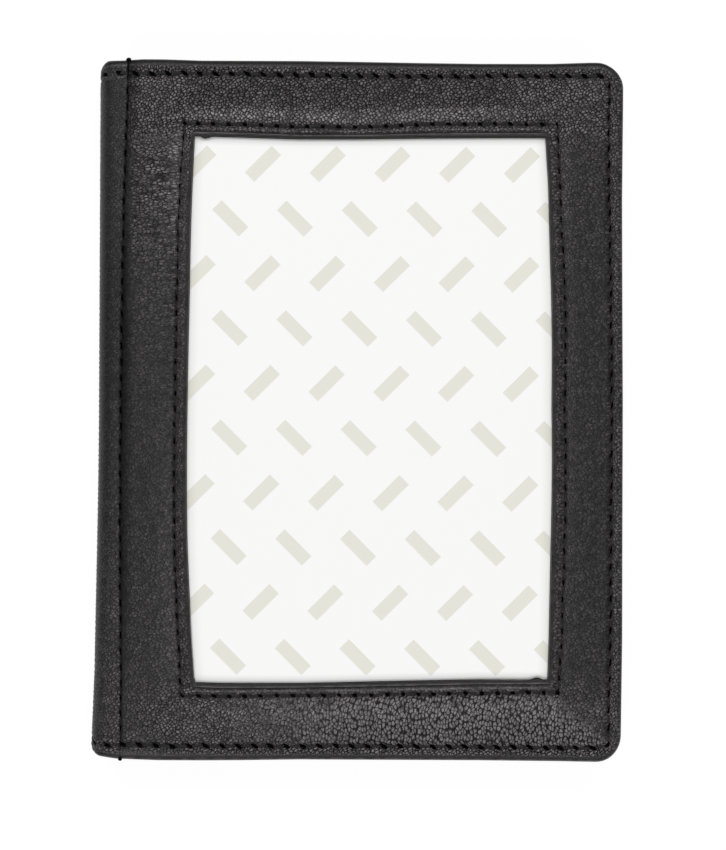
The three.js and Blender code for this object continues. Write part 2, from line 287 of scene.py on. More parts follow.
print("a rise in four steps:", [round(float(rise(step, 0, 4)), 2) for step in range(5)])

# %% [markdown]
# The leather is one skin that runs over a thin foam pad, dips into each seam, rolls over the
# board's edge and turns in underneath. A flat mesh with bump would lose that, so the skin is laid
# out in lanes: each lane is a line that runs along the cover, and the section says how high every
# lane lies. Three patches share their border points: the frame round the window, the edge along
# head, fore edge and foot, and the strip that folds round the spine.

# %% Section of the cover's edge
edge_seam = 2.6
panel_border = 3.6
bead_inset = 1.15
bead_rise = 0.2
bead_gap = 0.15
crown_run = 0.85
groove_depth = 0.09
groove_width = 0.42
turn_in = 4.6
turn_in_level = -1.8
turn_in_thick = 0.4
inner_wall = 0.75
border_lift = 0.28
seam_lanes = np.array([
    1.0, 0.78, 0.58, 0.42, 0.3, 0.2, 0.1, 0.0, -0.1, -0.2, -0.3, -0.42, -0.58, -0.8, -1.1,
])
roll_steps = 10


def groove(across):
    """How far a seam pulls the leather down, by the distance from the seam."""
    return -groove_depth * bell(across, 0, groove_width)


def edge_section():
    """Inset, lift, share of the crown and height of the bead, from the panel to its inside."""
    flat = edge_seam + seam_lanes
    bead_width = edge_seam - 2 * bead_gap - bead_inset
    bead = bead_rise * fall(flat, edge_seam - bead_gap, bead_width)
    turn = np.linspace(0, math.pi, roll_steps + 1)
    centre = (bead_rise + turn_in_level) / 2
    roll_in = bead_inset * (1 - np.sin(turn))
    roll_lift = centre + (bead_rise - centre) * np.cos(turn)
    inner_level = turn_in_level + turn_in_thick
    under_inset = [turn_in / 2, turn_in, turn_in, inner_wall, inner_wall, panel_border]
    under_lift = [turn_in_level] * 2 + [inner_level] * 2 + [-leather_thick] * 2
    insets = np.concatenate([flat, roll_in, under_inset])
    lifts = np.concatenate([groove(flat - edge_seam) + bead, roll_lift, under_lift])
    on_flat = np.arange(len(insets)) < len(flat)
    crown_share = np.where(on_flat, rise(insets, edge_seam + bead_gap, crown_run), 0)
    ridge = np.concatenate([bead, bead_rise * (1 + np.cos(turn)) / 2, 0 * np.array(under_lift)])
    return insets, lifts, crown_share, ridge


section_inset, section_lift, section_crown, section_bead = edge_section()
print("edge section:", len(section_inset), "lanes")

# %% [markdown]
# Stations are the places along the cover where the section is set down. The frame round the
# window and the edge share them, so the number of stations on a side is a whole number of
# stitches, with a few stations to each stitch. The window is not a plain rectangle: its long sides
# bow outwards, and its lip peaks at two corners, where the turned leather was cut slanting.

# %% Stations round the window
stations_per_stitch = 8
long_stitches, short_stitches = 36, 24
long_side = long_stitches * stations_per_stitch
short_side = short_stitches * stations_per_stitch
window_left, window_right = spine_face + 19.1, fore_edge - 15.5
window_foot, window_head = foot_edge + 15.8, head_edge - 15.3
foot_drift = np.array([0.45, 0])
window_bow = 1.3
window_corner = 0.35
window_seam = 2.8
lip_side_share = 0.86
peak_height, peak_place, peak_width, peak_fade = 0.56, 2.2, 1.2, 1.0
corner_notch = 0.12


def side_run(start, end, count, outward, bow, radius):
    """Points from one corner towards the next, bowed outwards and rounded at both corners."""
    start, end, outward = (np.array(v, float) for v in (start, end, outward))
    length = np.linalg.norm(end - start)
    ahead = (end - start) / length
    t = np.arange(count) / count
    along, off = t * length, bow * (1 - (2 * t - 1) ** 2)
    if radius > 0:
        near = np.minimum(along, length - along)
        angle = math.pi / 4 * np.clip(1 - near / radius, 0, 1)
        shift = np.where(near < radius, radius - radius * np.sin(angle) - near, 0)
        along = along + np.where(along < length / 2, shift, -shift)
        off = off - np.where(near < radius, radius - radius * np.cos(angle), 0)
    return start + np.outer(along, ahead) + np.outer(off, outward)


def lip_peak(from_corner):
    """How far the lip stands into the window near a corner with a slanting cut."""
    peak = peak_height * bell(from_corner, peak_place, peak_width)
    return peak - corner_notch * bell(from_corner, 0, peak_width)


def window_loop(outset):
    """Stations at an outset from the lip, clockwise from the foot corner by the spine."""
    side_outset = outset * lip_side_share
    left, right = window_left - side_outset, window_right + side_outset
    foot, head = window_foot - outset, window_head + outset
    low_left, low_right = (np.array([x, foot]) + foot_drift for x in (left, right))
    radius = max(window_corner * (1 - outset / 2), 0)
    spine_side = side_run(low_left, (left, head), long_side, (-1, 0), window_bow, radius)
    head_side = side_run((left, head), (right, head), short_side, (0, 1), 0, radius)
    fore_side = side_run((right, head), low_right, long_side, (1, 0), window_bow, radius)
    foot_side = side_run(low_right, low_left, short_side, (0, -1), 0, radius)
    free_edge = smooth(1 - outset / peak_fade)
    head_side[:, 1] -= free_edge * lip_peak(head_side[:, 0] - left)
    foot_side[:, 1] += free_edge * lip_peak(low_right[0] - foot_side[:, 0])
    return np.concatenate([spine_side, head_side, fore_side, foot_side])


print("stations round the window:", len(window_loop(0)))

# %% [markdown]
# Along the edge the stations run from the spine strip over the head, down the fore edge and back
# along the foot. They are laid out on the bead, with an outward direction at each, so that every
# lane of the section is the same line moved in or out. The needle cannot follow a round corner as
# evenly as the bead does, so the seam's lane turns the two corners more tightly.

# %% Stations along the edge
border_left = spine_face + 6.0
round_power, squarer_power = 2, 4.5


def edge_stations():
    """Points on the bead along head, fore edge and foot, and the outward direction at each."""
    radius = fore_radius - bead_inset
    half_arc = radius * math.pi / 4
    centre = np.array([fore_edge - fore_radius, head_edge - fore_radius])
    straight = centre[0] - border_left
    run = np.arange(short_side) * (straight + half_arc) / short_side
    angle = np.clip((run - straight) / radius, 0, None)
    head_out = np.column_stack([np.sin(angle), np.cos(angle)])
    head_at = centre + head_out * radius
    head_at[:, 0] = np.where(run < straight, border_left + run, head_at[:, 0])
    length = 2 * centre[1]
    run = np.arange(long_side) * (length + 2 * half_arc) / long_side
    first_turn = np.clip(run / radius, 0, math.pi / 4)
    angle = math.pi / 4 + first_turn + np.clip((run - half_arc - length) / radius, 0, None)
    fore_out = np.column_stack([np.sin(angle), np.cos(angle)])
    drop = np.clip(run - half_arc, 0, length)
    fore_at = centre + fore_out * radius - np.column_stack([0 * drop, drop])
    mirrored = np.array([1, -1])
    corner_out = np.full((1, 2), math.sqrt(0.5)) * mirrored
    corner_at = centre * mirrored + corner_out * radius
    foot_at = np.concatenate([corner_at, (head_at * mirrored)[::-1]])
    foot_out = np.concatenate([corner_out, (head_out * mirrored)[::-1]])
    at, out = (head_at, fore_at, foot_at), (head_out, fore_out, foot_out)
    return np.concatenate(at), np.concatenate(out)


edge_at, edge_out = edge_stations()


def edge_loop(inset):
    """The stations of the edge, at an inset from the cut edge."""
    power = mixed(rise(inset, bead_inset, edge_seam - bead_inset), round_power, squarer_power)
    squarer = np.sum(np.abs(edge_out) ** power, axis=1) ** (-1 / power) - 1
    reach = bead_inset - inset + (fore_radius - inset) * squarer
    return edge_at + edge_out * reach[:, None]


print("stations along the edge:", len(edge_at))

# %% [markdown]
# The spine strip starts flat beside the frame, bends round the fold and runs down the spine's
# face to its middle, where the leather of the back cover meets it. `around_fold` bends a flat
# "run" round the fold, which is surer than bending a finished mesh. The sewn strip is not dead
# straight: its seam bows away from the spine at both ends, and the spine stands out a little at
# the foot.

# %% Round the fold
spine_seam = 4.7
seam_bow_head, seam_bow_foot = 1.1, 0.6
bow_reach = 3
foot_swell = 0.75
swell_reach = 3.5
fold_step = 0.42
seam_run = fold_start - (spine_face + spine_seam)
first_run = fold_start - border_left
strip_runs = np.concatenate([
    [first_run, first_run + 0.3],
    seam_run - np.array([0.8, 0.58, 0.42, 0.3, 0.2, 0.1, 0, -0.1, -0.2, -0.3, -0.42, -0.58, -0.8]),
    np.arange(0.0, fold_arc, fold_step),
    fold_arc + wall_run * np.array([0, 1 / 3, 2 / 3, 1]),
])


def around_fold(run, lift):
    """Place across the cover and height of a point of leather at a run towards the spine."""
    angle = np.clip(run / fold_radius, 0, math.pi / 2)
    reach = fold_radius + lift
    x = fold_start - np.minimum(run, 0) - reach * np.sin(angle)
    z = edge_level - fold_radius + reach * np.cos(angle) - np.clip(run - fold_arc, 0, None)
    return x, z


def sideways(run, y):
    """Sideways shift of the strip: the bow of its seam, and the swell of the spine at the foot."""
    near_seam = rise(run, first_run, seam_run - first_run) * smooth(1 - (run - seam_run) / bow_reach)
    swell = foot_swell * smooth(-y / head_edge) * rise(run, seam_run, swell_reach)
    bow = np.where(y > 0, seam_bow_head, seam_bow_foot) * (y / head_edge) ** 2
    return bow * near_seam - swell


def end_rounding(run):
    """How far the strip's ends are drawn in to round the spine's corners."""
    x, _ = around_fold(run, 0)
    beyond = np.clip(spine_face + spine_end_radius - x, 0, spine_end_radius)
    return spine_end_radius - np.sqrt(spine_end_radius ** 2 - beyond ** 2)


print("spine strip:", len(strip_runs), "stations round the fold")

# %% [markdown]
# A needle leaves a hole at the end of every stitch and pulls the leather in. Holes could be drawn
# in the material alone, but then no shadow would lie in them. So each hole is a real dimple in the
# mesh, longer along the seam than across it and a little slanted. Its place is also kept on the
# mesh, as shares of the hole's half length and half width, so that the material can paint the
# hole's shadow black more finely than the mesh could. The awl was held crosswise, so the holes on
# the long sides are slimmer than those at head and foot, and no two are quite alike.

# %% Needle holes
stitch_pitch = 3.2
hole_depth = 0.4
# Half length, half width and slant of a hole.
edge_hole_size = (0.85, 0.45, 0.35)
fore_hole_size = (0.95, 0.2, 0.12)
window_end_hole_size = (0.54, 0.42, -0.2)
window_side_hole_size = (0.76, 0.18, 0.05)
spine_hole_size = (1.0, 0.17, 0.08)
no_hole = 9.0
hole_reach = 3
hole_stray = 0.12
hole_variety = 0.12
hole_waves = (7.3, 4.7, 2.9)


def needle_hole(stitches, across, half_length, half_width, slant):
    """Place beside the nearest hole, as shares of its half length and half width."""
    number = np.round(stitches)
    ahead, aside, longer = (np.sin(wave * number) for wave in hole_waves)
    along = (stitches - number) * stitch_pitch + hole_stray * ahead
    across = across + hole_stray / 2 * aside
    half_length = half_length * (1 + hole_variety * longer)
    return np.abs(along) / half_length, (across - slant * along) / half_width


def dimple(hole):
    """How far a hole pulls the leather down."""
    along, across = (np.minimum(np.abs(share), hole_reach) for share in hole)
    return hole_depth * np.exp(-along ** 4 - across ** 2)


def between(share, first, second):
    """Mixes two hole sizes by a share for each station."""
    return [mixed(share, *pair) for pair in zip(first, second)]


print("a hole at the head is", 2 * edge_hole_size[0], "mm long and", 2 * edge_hole_size[1], "wide")

# %% [markdown]
# Patches are grid primitives whose points are carried to their places on the section. A grid keeps
# lanes and stations apart, so every value of the section lands on the right point. Grain, painted
# shade and painted highlight travel with the points as attributes, so that the material can be
# smooth and shaded on the rolled edges, pebbled on the pad and black with painted shadow in the holes.

# %% Grids carried to their places
trait_names = ("grain", "painted_shade", "painted_highlight", "hole_along", "hole_across")


def places_of(obj):
    """The points of a mesh, in millimetres."""
    flat = np.empty(len(obj.data.vertices) * 3)
    obj.data.vertices.foreach_get("co", flat)
    return flat.reshape(-1, 3) / MM


def move_points(obj, places):
    """Carries the points of a mesh to places in millimetres."""
    obj.data.vertices.foreach_set("co", (places * MM).ravel())
    obj.data.update()


def set_trait(obj, trait, values):
    """Keeps one number for each point of a mesh."""
    kept = obj.data.attributes.get(trait) or obj.data.attributes.new(trait, "FLOAT", "POINT")
    kept.data.foreach_set("value", values.astype(np.float32))


def get_trait(obj, trait):
    """The numbers kept for the points of a mesh."""
    values = np.empty(len(obj.data.vertices), np.float32)
    obj.data.attributes[trait].data.foreach_get("value", values)
    return values


def carried_grid(name, places, traits):
    """A grid primitive with its points carried to places, and traits as attributes."""
    rows, columns = places.shape[:2]
    bpy.ops.mesh.primitive_grid_add(
        x_subdivisions=columns - 1, y_subdivisions=rows - 1, size=1, calc_uvs=False
    )
    obj = bpy.context.object
    obj.name = name
    shares = places_of(obj) * MM + 0.5
    column = np.rint(shares[:, 0] * (columns - 1)).astype(int)
    row = np.rint(shares[:, 1] * (rows - 1)).astype(int)
    move_points(obj, places[row, column])
    for trait, values in traits.items():
        set_trait(obj, trait, values[row, column])
    return obj


print("kept on every point:", ", ".join(trait_names))

# %% [markdown]
# On the real cover the skin is one piece of leather. Welding joins the patches where they share
# points, closes the open end at the middle of the spine and turns every face outwards. Modelling
# it as one mesh from the start would need the same lanes everywhere, also where few will do.

# %% Weld patches into a skin
weld_reach = 0.004
skin_angle = math.radians(50)


def select_only(*objects):
    """Selects these objects and makes the first one active."""
    bpy.ops.object.select_all(action="DESELECT")
    for obj in objects:
        obj.select_set(True)
    bpy.context.view_layer.objects.active = objects[0]


def named(obj, name):
    """Gives an object and its mesh one name."""
    obj.name = name
    obj.data.name = name
    return obj


def face_outwards():
    """Turns all faces of the mesh in edit mode outwards, and leaves edit mode."""
    bpy.ops.mesh.select_all(action="SELECT")
    bpy.ops.mesh.normals_make_consistent(inside=False)
    bpy.ops.object.mode_set(mode="OBJECT")


def welded(name, patches):
    """One closed skin from patches that share their border points."""
    select_only(*patches)
    bpy.ops.object.join()
    skin = named(bpy.context.object, name)
    bpy.ops.object.mode_set(mode="EDIT")
    bpy.ops.mesh.select_mode(type="EDGE")
    bpy.ops.mesh.select_all(action="SELECT")
    bpy.ops.mesh.remove_doubles(threshold=weld_reach * MM)
    bpy.ops.mesh.select_all(action="DESELECT")
    bpy.ops.mesh.select_non_manifold(
        use_wire=False, use_multi_face=False, use_non_contiguous=False, use_verts=False
    )
    bpy.ops.mesh.fill_holes(sides=0)
    face_outwards()
    bpy.ops.object.shade_smooth_by_angle(angle=skin_angle)
    print(name, len(skin.data.polygons), "faces")
    return skin


# %% [markdown]
# The window frame's section, from under the lip: the skin turns up round the lip's edge, makes a
# thin ridge and a grainy one, dips into the window seam, climbs steeply onto the foam and falls
# away gently to the border that it shares with the edge and the spine strip. The lip is drawn as a
# list of points, because its two ridges follow no simple curve.

# %% Section of the window frame
crown_lift = 0.66
crown_peak = 0.36
# Outset from the lip and lift of each lane.
lip_lanes = [
    (1.2, -0.7), (0.5, -0.7), (0.2, -0.62), (0.05, -0.46), (0.0, -0.15), (0.04, 0.18), (0.14, 0.42),
    (0.3, 0.56), (0.5, 0.62), (0.72, 0.63), (0.9, 0.52), (1.03, 0.36), (1.15, 0.3), (1.27, 0.36),
    (1.4, 0.46), (1.55, 0.52), (1.7, 0.51), (1.88, 0.42), (2.05, 0.3),
]
strip_border_lift = 0.1
corner_blend = 9.0


def crown(share, start, end):
    """Lift of the padded frame, from the window seam at 0 to the panel's border at 1."""
    climb = 1 - (1 - np.clip(share / crown_peak, 0, 1)) ** 2
    fall = rise(share, crown_peak, 1 - crown_peak)
    return start + (crown_lift - start) * climb - (crown_lift - end) * fall


def border_lifts():
    """Lift of the panel's border at each station of the ring: lower beside the spine strip."""
    half = head_edge - panel_border
    y = np.linspace(-1, 1, long_side + 1)[:-1] * half
    corner = smooth(1 - (half - np.abs(y)) / corner_blend)
    beside_spine = mixed(corner, strip_border_lift, border_lift)
    return np.concatenate([beside_spine, np.full(2 * short_side + long_side, border_lift)]), y, corner


ring_border_lift, strip_y, strip_corner = border_lifts()


def border_loop():
    """Stations of the panel's border: beside the spine strip, then along head, fore edge and foot."""
    beside = np.column_stack([np.full(long_side, border_left), strip_y])
    return np.concatenate([beside, edge_loop(panel_border)[:-1]])


def with_height(plan, lift):
    """Adds the height above the floor to points of the plan."""
    return np.column_stack([plan, np.broadcast_to(edge_level + lift, len(plan))])


def closed(rings):
    """Repeats each ring's first point at its end, for the weld to join."""
    rings = np.array(rings)
    return np.concatenate([rings, rings[:, :1]], axis=1)


print("window frame:", len(lip_lanes), "lanes on the lip,", len(border_loop()), "stations")

# %% [markdown]
# The lip looks different at its ends and on its long sides. At head and foot it shows two light
# ridges with a darker line between them, drawn as painted highlight and painted shade, and its smooth
# roll gets painted shade; on the long sides its grain comes near to its edge, and its roll gets a
# faint painted highlight. A picture of the lip could be painted, but three small formulas say the
# same for every lane.

# %% Looks of the lip
lip_end_grain, lip_side_grain = 0.9, 1.4
valley, ridge, thin_ridge = 1.18, 1.7, 0.72
# Painted shade on the lip's roll and in the valley between its ridges; painted highlight on the thin ridge
# and on the roll.
roll_shade, valley_shade = 0.33, 0.14
thin_ridge_light, roll_light = 0.5, 0.12


def lip_shade(outset, ends):
    """Painted shade on the lip: on its smooth roll, and at head and foot in the line between its ridges."""
    return ends * (roll_shade * fall(outset, 0.6, 0.3) + valley_shade * bell(outset, valley, 0.13))


def lip_highlight(outset, ends):
    """Painted highlight along the lip's two ridges at head and foot, and on its roll on the long sides."""
    ridges = thin_ridge_light * bell(outset, thin_ridge, 0.14) + bell(outset, ridge, 0.24)
    return ends * ridges + (1 - ends) * roll_light * fall(outset, 0.9, 0.4)


def lip_pebbles(outset, ends):
    """Boldness of the lip's grain, which comes nearer to its edge on the long sides."""
    return mixed(ends, lip_side_grain, lip_end_grain) * rise(outset, 0.55 + 0.4 * ends, 0.4)


looks = {"grain": lip_pebbles, "painted_shade": lip_shade, "painted_highlight": lip_highlight}
for trait, look in looks.items():
    print(trait, "on the grainy ridge at the head:", round(float(look(ridge, 1.0)), 2))

# %% [markdown]
# The frame round the window is the first patch, as rings of stations from its inside to its
# border. Rings suit it better than separate strips for the four sides, because the corners need
# no joints.

# %% Window frame patch
window_seam_lift = 0.24
seam_bank = 0.16
climb_start, climb_lift = 3.4, 0.36
crown_lanes = 15
side_fill = 0.28
seam_end_grain, seam_end_shade = 0.7, 0.35
corner_share = 0.04


def window_frame():
    """The padded leather frame, as a grid of lanes by stations."""
    sides = (long_side, short_side, long_side, short_side)
    ring_stitches = np.arange(sum(sides)) / stations_per_stitch
    on_side = np.repeat([1, 0, 1, 0], sides)
    hole_size = between(on_side, window_end_hole_size, window_side_hole_size)
    fan = np.concatenate([np.arange(count) / count * 2 - 1 for count in sides])
    ends = (1 - on_side) * fall(np.abs(fan), 1, corner_share)
    border = border_loop()
    rings = []
    traits = {name: [] for name in trait_names}

    def lane(plan, lift, grain, painted_shade=0.0, painted_highlight=0.0, hole=(no_hole, no_hole)):
        rings.append(with_height(plan, lift))
        for trait, value in zip(traits, (grain, painted_shade, painted_highlight, *hole)):
            traits[trait].append(np.broadcast_to(value, len(plan)))

    start = window_loop(climb_start)
    lane(border, -leather_thick, 0)
    lane((border + start) / 2, -leather_thick, 0)
    for outset, lift in lip_lanes:
        filled = lift + (1 - ends) * side_fill * bell(outset, valley, 0.2)
        lane(window_loop(outset), filled, *(look(outset, ends) for look in looks.values()))
    for across in -seam_lanes[3:-3]:
        hole = needle_hole(ring_stitches + fan * across / stitch_pitch, across, *hole_size)
        lift = window_seam_lift + groove(across) + seam_bank * rise(abs(across), 0.2, 0.4)
        grain = mixed(ends, 1, seam_end_grain)
        # Painted shade in the window seam at head and foot.
        end_seam_shade = ends * seam_end_shade * bell(across, -0.15, 0.4)
        lane(window_loop(window_seam + across), lift - dimple(hole), grain, end_seam_shade, hole=hole)
    for share in np.linspace(0, 1, crown_lanes):
        lane(mixed(share, start, border), crown(share, climb_lift, ring_border_lift), 1.0)
    return carried_grid("window_frame", closed(rings), {t: closed(v) for t, v in traits.items()})


frame_patch = window_frame()
print("window frame:", len(frame_patch.data.vertices), "points")

# %% [markdown]
# The bead along the edge is worn smooth and gets a painted highlight, and beside the seam and on the
# roll's shoulder the leather gets painted shade. Head, foot and fore edge differ: at the foot the
# painted highlight lies low down on the roll, and on the fore edge the grain goes on round the roll,
# under a faint painted highlight and with no painted shade. Each trait is a list with one value for
# every lane.

# %% Looks of the edge's lanes
# Painted highlight on the bead, low down on the roll at the foot, and faint on the fore edge's roll.
bead_highlight = 0.45
bead_top, bead_fade = 1.5, 0.25
bead_side, bead_side_shade, seam_side_shade = 1.75, 0.16, 0.4
edge_lanes, flat_lanes = len(section_inset), len(seam_lanes)
flat_inset = section_inset[:flat_lanes]
roll = np.arange(roll_steps + 1)


def by_lane(flat, rolled):
    """A trait of the edge section's lanes: on its flat, on its roll, and none inside."""
    return np.concatenate([flat, rolled, np.zeros(edge_lanes - flat_lanes - roll_steps - 1)])


plain = np.ones(flat_lanes)
on_bead = smooth(1 - (flat_inset - bead_top) / bead_fade)
# Painted shade beside the bead and in the edge seam, and below also on the roll's shoulder.
seam_shade = bead_side_shade * bell(flat_inset, bead_side, 0.4)
seam_shade = seam_shade + seam_side_shade * bell(flat_inset, edge_seam, 0.42)
lane_grain = by_lane(plain, 0.6 * smooth(1 - roll))
fore_grain = by_lane(plain, np.interp(roll, [0, 2, 4], [1, 0.8, 0]))
lane_shade = by_lane(seam_shade, np.interp(roll, [0, 1, 2, 3, 4], [0, 0.42, 0.22, 0, 0]))
lane_highlight = bead_highlight * by_lane(0.4 * on_bead, smooth(1 - roll))
foot_roll = np.interp(roll, [0, 1, 2, 3, 5, 6], [0.7, 0, 0.4, 1, 1, 0.6])
foot_highlight = bead_highlight * by_lane(0.9 * on_bead, foot_roll)
fore_highlight = by_lane(0 * plain, np.interp(roll, [0, 1, 4, 6], [0.1, 0.16, 0.16, 0]))
print("darkest lane of the edge:", round(float(lane_shade.max()), 2))

# %% [markdown]
# The edge patch is the second one: the edge section set down at every station along head, fore
# edge and foot. Stitches are counted along the seam's own lane, so that they keep one pitch round
# the corners too.

# %% Edge patch
edge_stitches = 100
first_hole, last_gap = 1.1, 2.97
upright_start, upright_width = 0.45, 0.5
end_start = 2 / 7


def seam_length(plan):
    """Distance along a line of points, from its first one."""
    return np.concatenate([[0], np.cumsum(np.linalg.norm(np.diff(plan, axis=0), axis=1))])


edge_run = seam_length(edge_loop(edge_seam))
edge_length = edge_run[-1]
edge_pitch = (edge_length - first_hole - last_gap) / edge_stitches


def edge_holes(distance, upright):
    """Needle holes on the edge section's lanes, by the distance along its seam; none on the roll."""
    holes = np.full((2, edge_lanes, len(distance)), no_hole)
    size = between(upright, edge_hole_size, fore_hole_size)
    stitches = (distance - first_hole) / edge_pitch
    for lane in range(flat_lanes):
        holes[:, lane] = needle_hole(stitches, section_inset[lane] - edge_seam, *size)
    return holes


def cover_edge():
    """The leather over the edge, as a grid of lanes by stations."""
    sideways_out, upward_out = edge_out.T
    upright = rise(np.abs(sideways_out), upright_start, upright_width)
    holes = edge_holes(edge_run, upright)
    pulled = dimple(holes)
    lanes = []
    for inset, lift, share, pull in zip(section_inset, section_lift, section_crown, pulled):
        lanes.append(with_height(edge_loop(inset), lift + share * border_lift - pull))
    head, foot = (rise(end * upward_out, end_start, 1 - end_start) for end in (1, -1))
    fore = 1 - head - foot
    grain = np.outer(lane_grain, 1 - fore) + np.outer(fore_grain, fore)
    painted_shade = np.outer(lane_shade, 1 - fore)
    painted_highlight = np.outer(lane_highlight, head) + np.outer(foot_highlight, foot) + np.outer(fore_highlight, fore)
    return carried_grid(
        "cover_edge", np.array(lanes), dict(zip(trait_names, (grain, painted_shade, painted_highlight, *holes)))
    )


print("edge seam:", edge_stitches, "stitches of", round(edge_pitch, 2), "mm")

# %% [markdown]
# The spine strip is the third patch: a closed section, made of the edge section at the foot, the
# inside of the strip, the edge section at the head and the outside of the strip, carried round
# the fold. A flat strip bent by a modifier would crease where this one is rolled.

# %% Spine strip patch
seam_line_shade, seam_line_width = 0.7, 0.16
strip_ridge = 0.05
strip_grain, fold_grain = 0.5, 0.75


def strip_profile(run):
    """The strip's closed section at one run: its places, then its traits."""
    draw = end_rounding(run)
    ease = fall(run, seam_run, seam_run - first_run)
    half = head_edge - panel_border - draw
    strip_lift = strip_border_lift * ease
    strip_lift = strip_lift + strip_ridge * rise(run, seam_run, 0.8) * (1 - rise(run, 1, 2))
    end_lift = section_lift[0] + border_lift * ease * section_crown[0]
    spine_hole = np.array(needle_hole(strip_y / stitch_pitch, run - seam_run, *spine_hole_size))
    inside_seam = fall(np.abs(strip_y), half, 0.6)
    spine_hole[0] += no_hole * (1 - inside_seam)
    outside = mixed(strip_corner, strip_lift, end_lift)
    outside = outside + (groove(run - seam_run) - dimple(spine_hole)) * inside_seam
    past = np.array([run - first_run])
    foot_shift, head_shift = (sideways(run, end * (head_edge - edge_seam)) for end in (-1, 1))
    distances = (edge_length + past - foot_shift, head_shift - past)
    foot, head = (edge_holes(distance, np.zeros(1))[..., 0] for distance in distances)
    ends = section_lift + border_lift * ease * section_crown
    ends = ends - section_bead * smooth(run / fold_radius)
    end_y = head_edge - section_inset - draw
    side_y = strip_y[1:] * half / (head_edge - panel_border)
    y = np.concatenate([-end_y, side_y, end_y[::-1], side_y[::-1]])
    inside = np.zeros(long_side - 1)

    def around(foot_end, head_end, within, without):
        return np.concatenate([foot_end, within, head_end[::-1], without])

    lift = around(ends - dimple(foot), ends - dimple(head), inside - leather_thick, outside[:0:-1])
    side_grain = mixed(smooth(1 - (run + 1) / 3), strip_grain, fold_grain)
    grain = around(lane_grain, lane_grain, inside, inside + side_grain)
    # Painted shade along the spine seam.
    line = seam_line_shade * bell(run, seam_run, seam_line_width)
    painted_shade = np.maximum(around(lane_shade, lane_shade, inside, inside), line)
    painted_highlight = around(foot_highlight, lane_highlight, inside, inside) * smooth(1 - run / fold_radius)
    holes = [around(*parts, inside + no_hole, s[:0:-1]) for *parts, s in zip(foot, head, spine_hole)]
    x, z = around_fold(run, lift)
    return [np.column_stack([x + sideways(run, y), y, z]), grain, painted_shade, painted_highlight, *holes]


def spine_strip():
    """The leather round the fold, as a grid of profile points by runs."""
    places, *traits = (closed(part) for part in zip(*(strip_profile(run) for run in strip_runs)))
    return carried_grid("spine_strip", places, dict(zip(trait_names, traits)))


front_panel = welded("front_leather_panel", [frame_patch, cover_edge(), spine_strip()])

# %% [markdown]
# No two parts of a hide have the same grain. On this cover it is bold on the head and foot bands,
# coarsest at the foot towards the fore edge, creased crossways beside the spine at the head, and
# faint elsewhere. A painted mask would do, but it would have to be kept as a picture. So these
# numbers are kept on the mesh too, worked out from each point's place in millimetres.

# %% Where the grain is bold
# Bolder grain also draws a stronger painted highlight on its pebbles, and fainter grain a weaker one.
faint_grain, boldest_grain = 0.37, 1.2
head_bold, head_share_at_fore = 0.54, 0.76
foot_bold_at_spine, foot_bold_at_fore = 0.47, 0.75
foot_slant, foot_share_past_slant, foot_share_at_spine = 1.33, 0.3, 0.25
beside_spine_bold = ((-10, 5, 20, 30, 40, 50, 58), (0.0, 0.05, 0.13, 0.22, 0.36, 0.54, 0.6))
side_share_in_head, side_bold_at_foot = 0.08, 0.07
fore_bold_at_head = 0.1
strip_bold, strip_bold_at_foot = 0.47, 0.87
seam_share, seam_fade = 0.6, 2.4
bead_bold = 0.68


def front_grain(obj):
    """Bold, coarse and creased shares of the grain over the front cover."""
    x, y, _ = places_of(obj).T
    head_band = rise(y, window_head - 4, 7)
    foot_band = fall(y, window_foot + 2, 6)
    beside_spine = fall(x, window_left, 4)
    off_fore = 1 - rise(x, window_right + 1, 11)
    off_spine = rise(x, spine_face + 6, 16)
    slant = window_right + 0.5 + foot_slant * np.clip(window_foot - window_seam - y, 0, None)
    foot_reach = 1 - rise(x, slant - 4, 8)
    foot_bold = mixed(rise(x, -40, 55), foot_bold_at_spine, foot_bold_at_fore) * foot_band
    foot_bold = foot_bold * mixed(foot_reach, foot_share_past_slant, 1)
    foot_bold = foot_bold * mixed(off_spine, foot_share_at_spine, 1)
    side_bold = np.interp(y, *beside_spine_bold) * mixed(head_band, 1, side_share_in_head)
    side_bold = beside_spine * (side_bold + side_bold_at_foot * fall(y, -20, 30))
    fore_bold = fore_bold_at_head * rise(y, 25, 25) * rise(x, window_right, 3) * (1 - head_band)
    bold = faint_grain + head_bold * head_band * mixed(off_fore, head_share_at_fore, 1)
    bold = bold + foot_bold + side_bold + fore_bold
    seam_x = spine_face + spine_seam + sideways(seam_run, y)
    past_seam = rise(x, seam_x, seam_fade)
    on_strip = mixed(fall(y, -5, 60), strip_bold, strip_bold_at_foot)
    bold = np.where(x > seam_x, bold * mixed(past_seam, seam_share, 1), on_strip)
    on_fore_bead = rise(x, fore_edge - edge_seam + 0.2, 0.5)
    bold = bold + on_fore_bead * np.maximum(bead_bold - bold, 0)
    off_bead = rise(y, foot_edge + edge_seam - 0.4, 0.8)
    set_trait(obj, "grain", np.minimum(get_trait(obj, "grain") * bold, boldest_grain))
    set_trait(obj, "coarse", foot_band * rise(x, -42, 50) * foot_reach * off_bead)
    set_trait(obj, "creased", beside_spine * past_seam * rise(y, -30, 65) * (1 - head_band))


def print_trait(obj, trait):
    """Prints the least and the greatest of the numbers kept on a mesh."""
    values = get_trait(obj, trait)
    print(trait, "from", round(float(values.min()), 2), "to", round(float(values.max()), 2))


front_grain(front_panel)
for trait in ("grain", "coarse", "creased"):
    print_trait(front_panel, trait)

# %% [markdown]
# Where the padding rises towards the window it catches the lamps, most of all at the head, and
# beside the spine seam it lies in shade. This light and shade is painted. It changes slowly and
# follows the seams, so it is one more number on the mesh, which scales the leather's colour and
# gloss: 0 is plain leather, and 0.5 half as bright again.

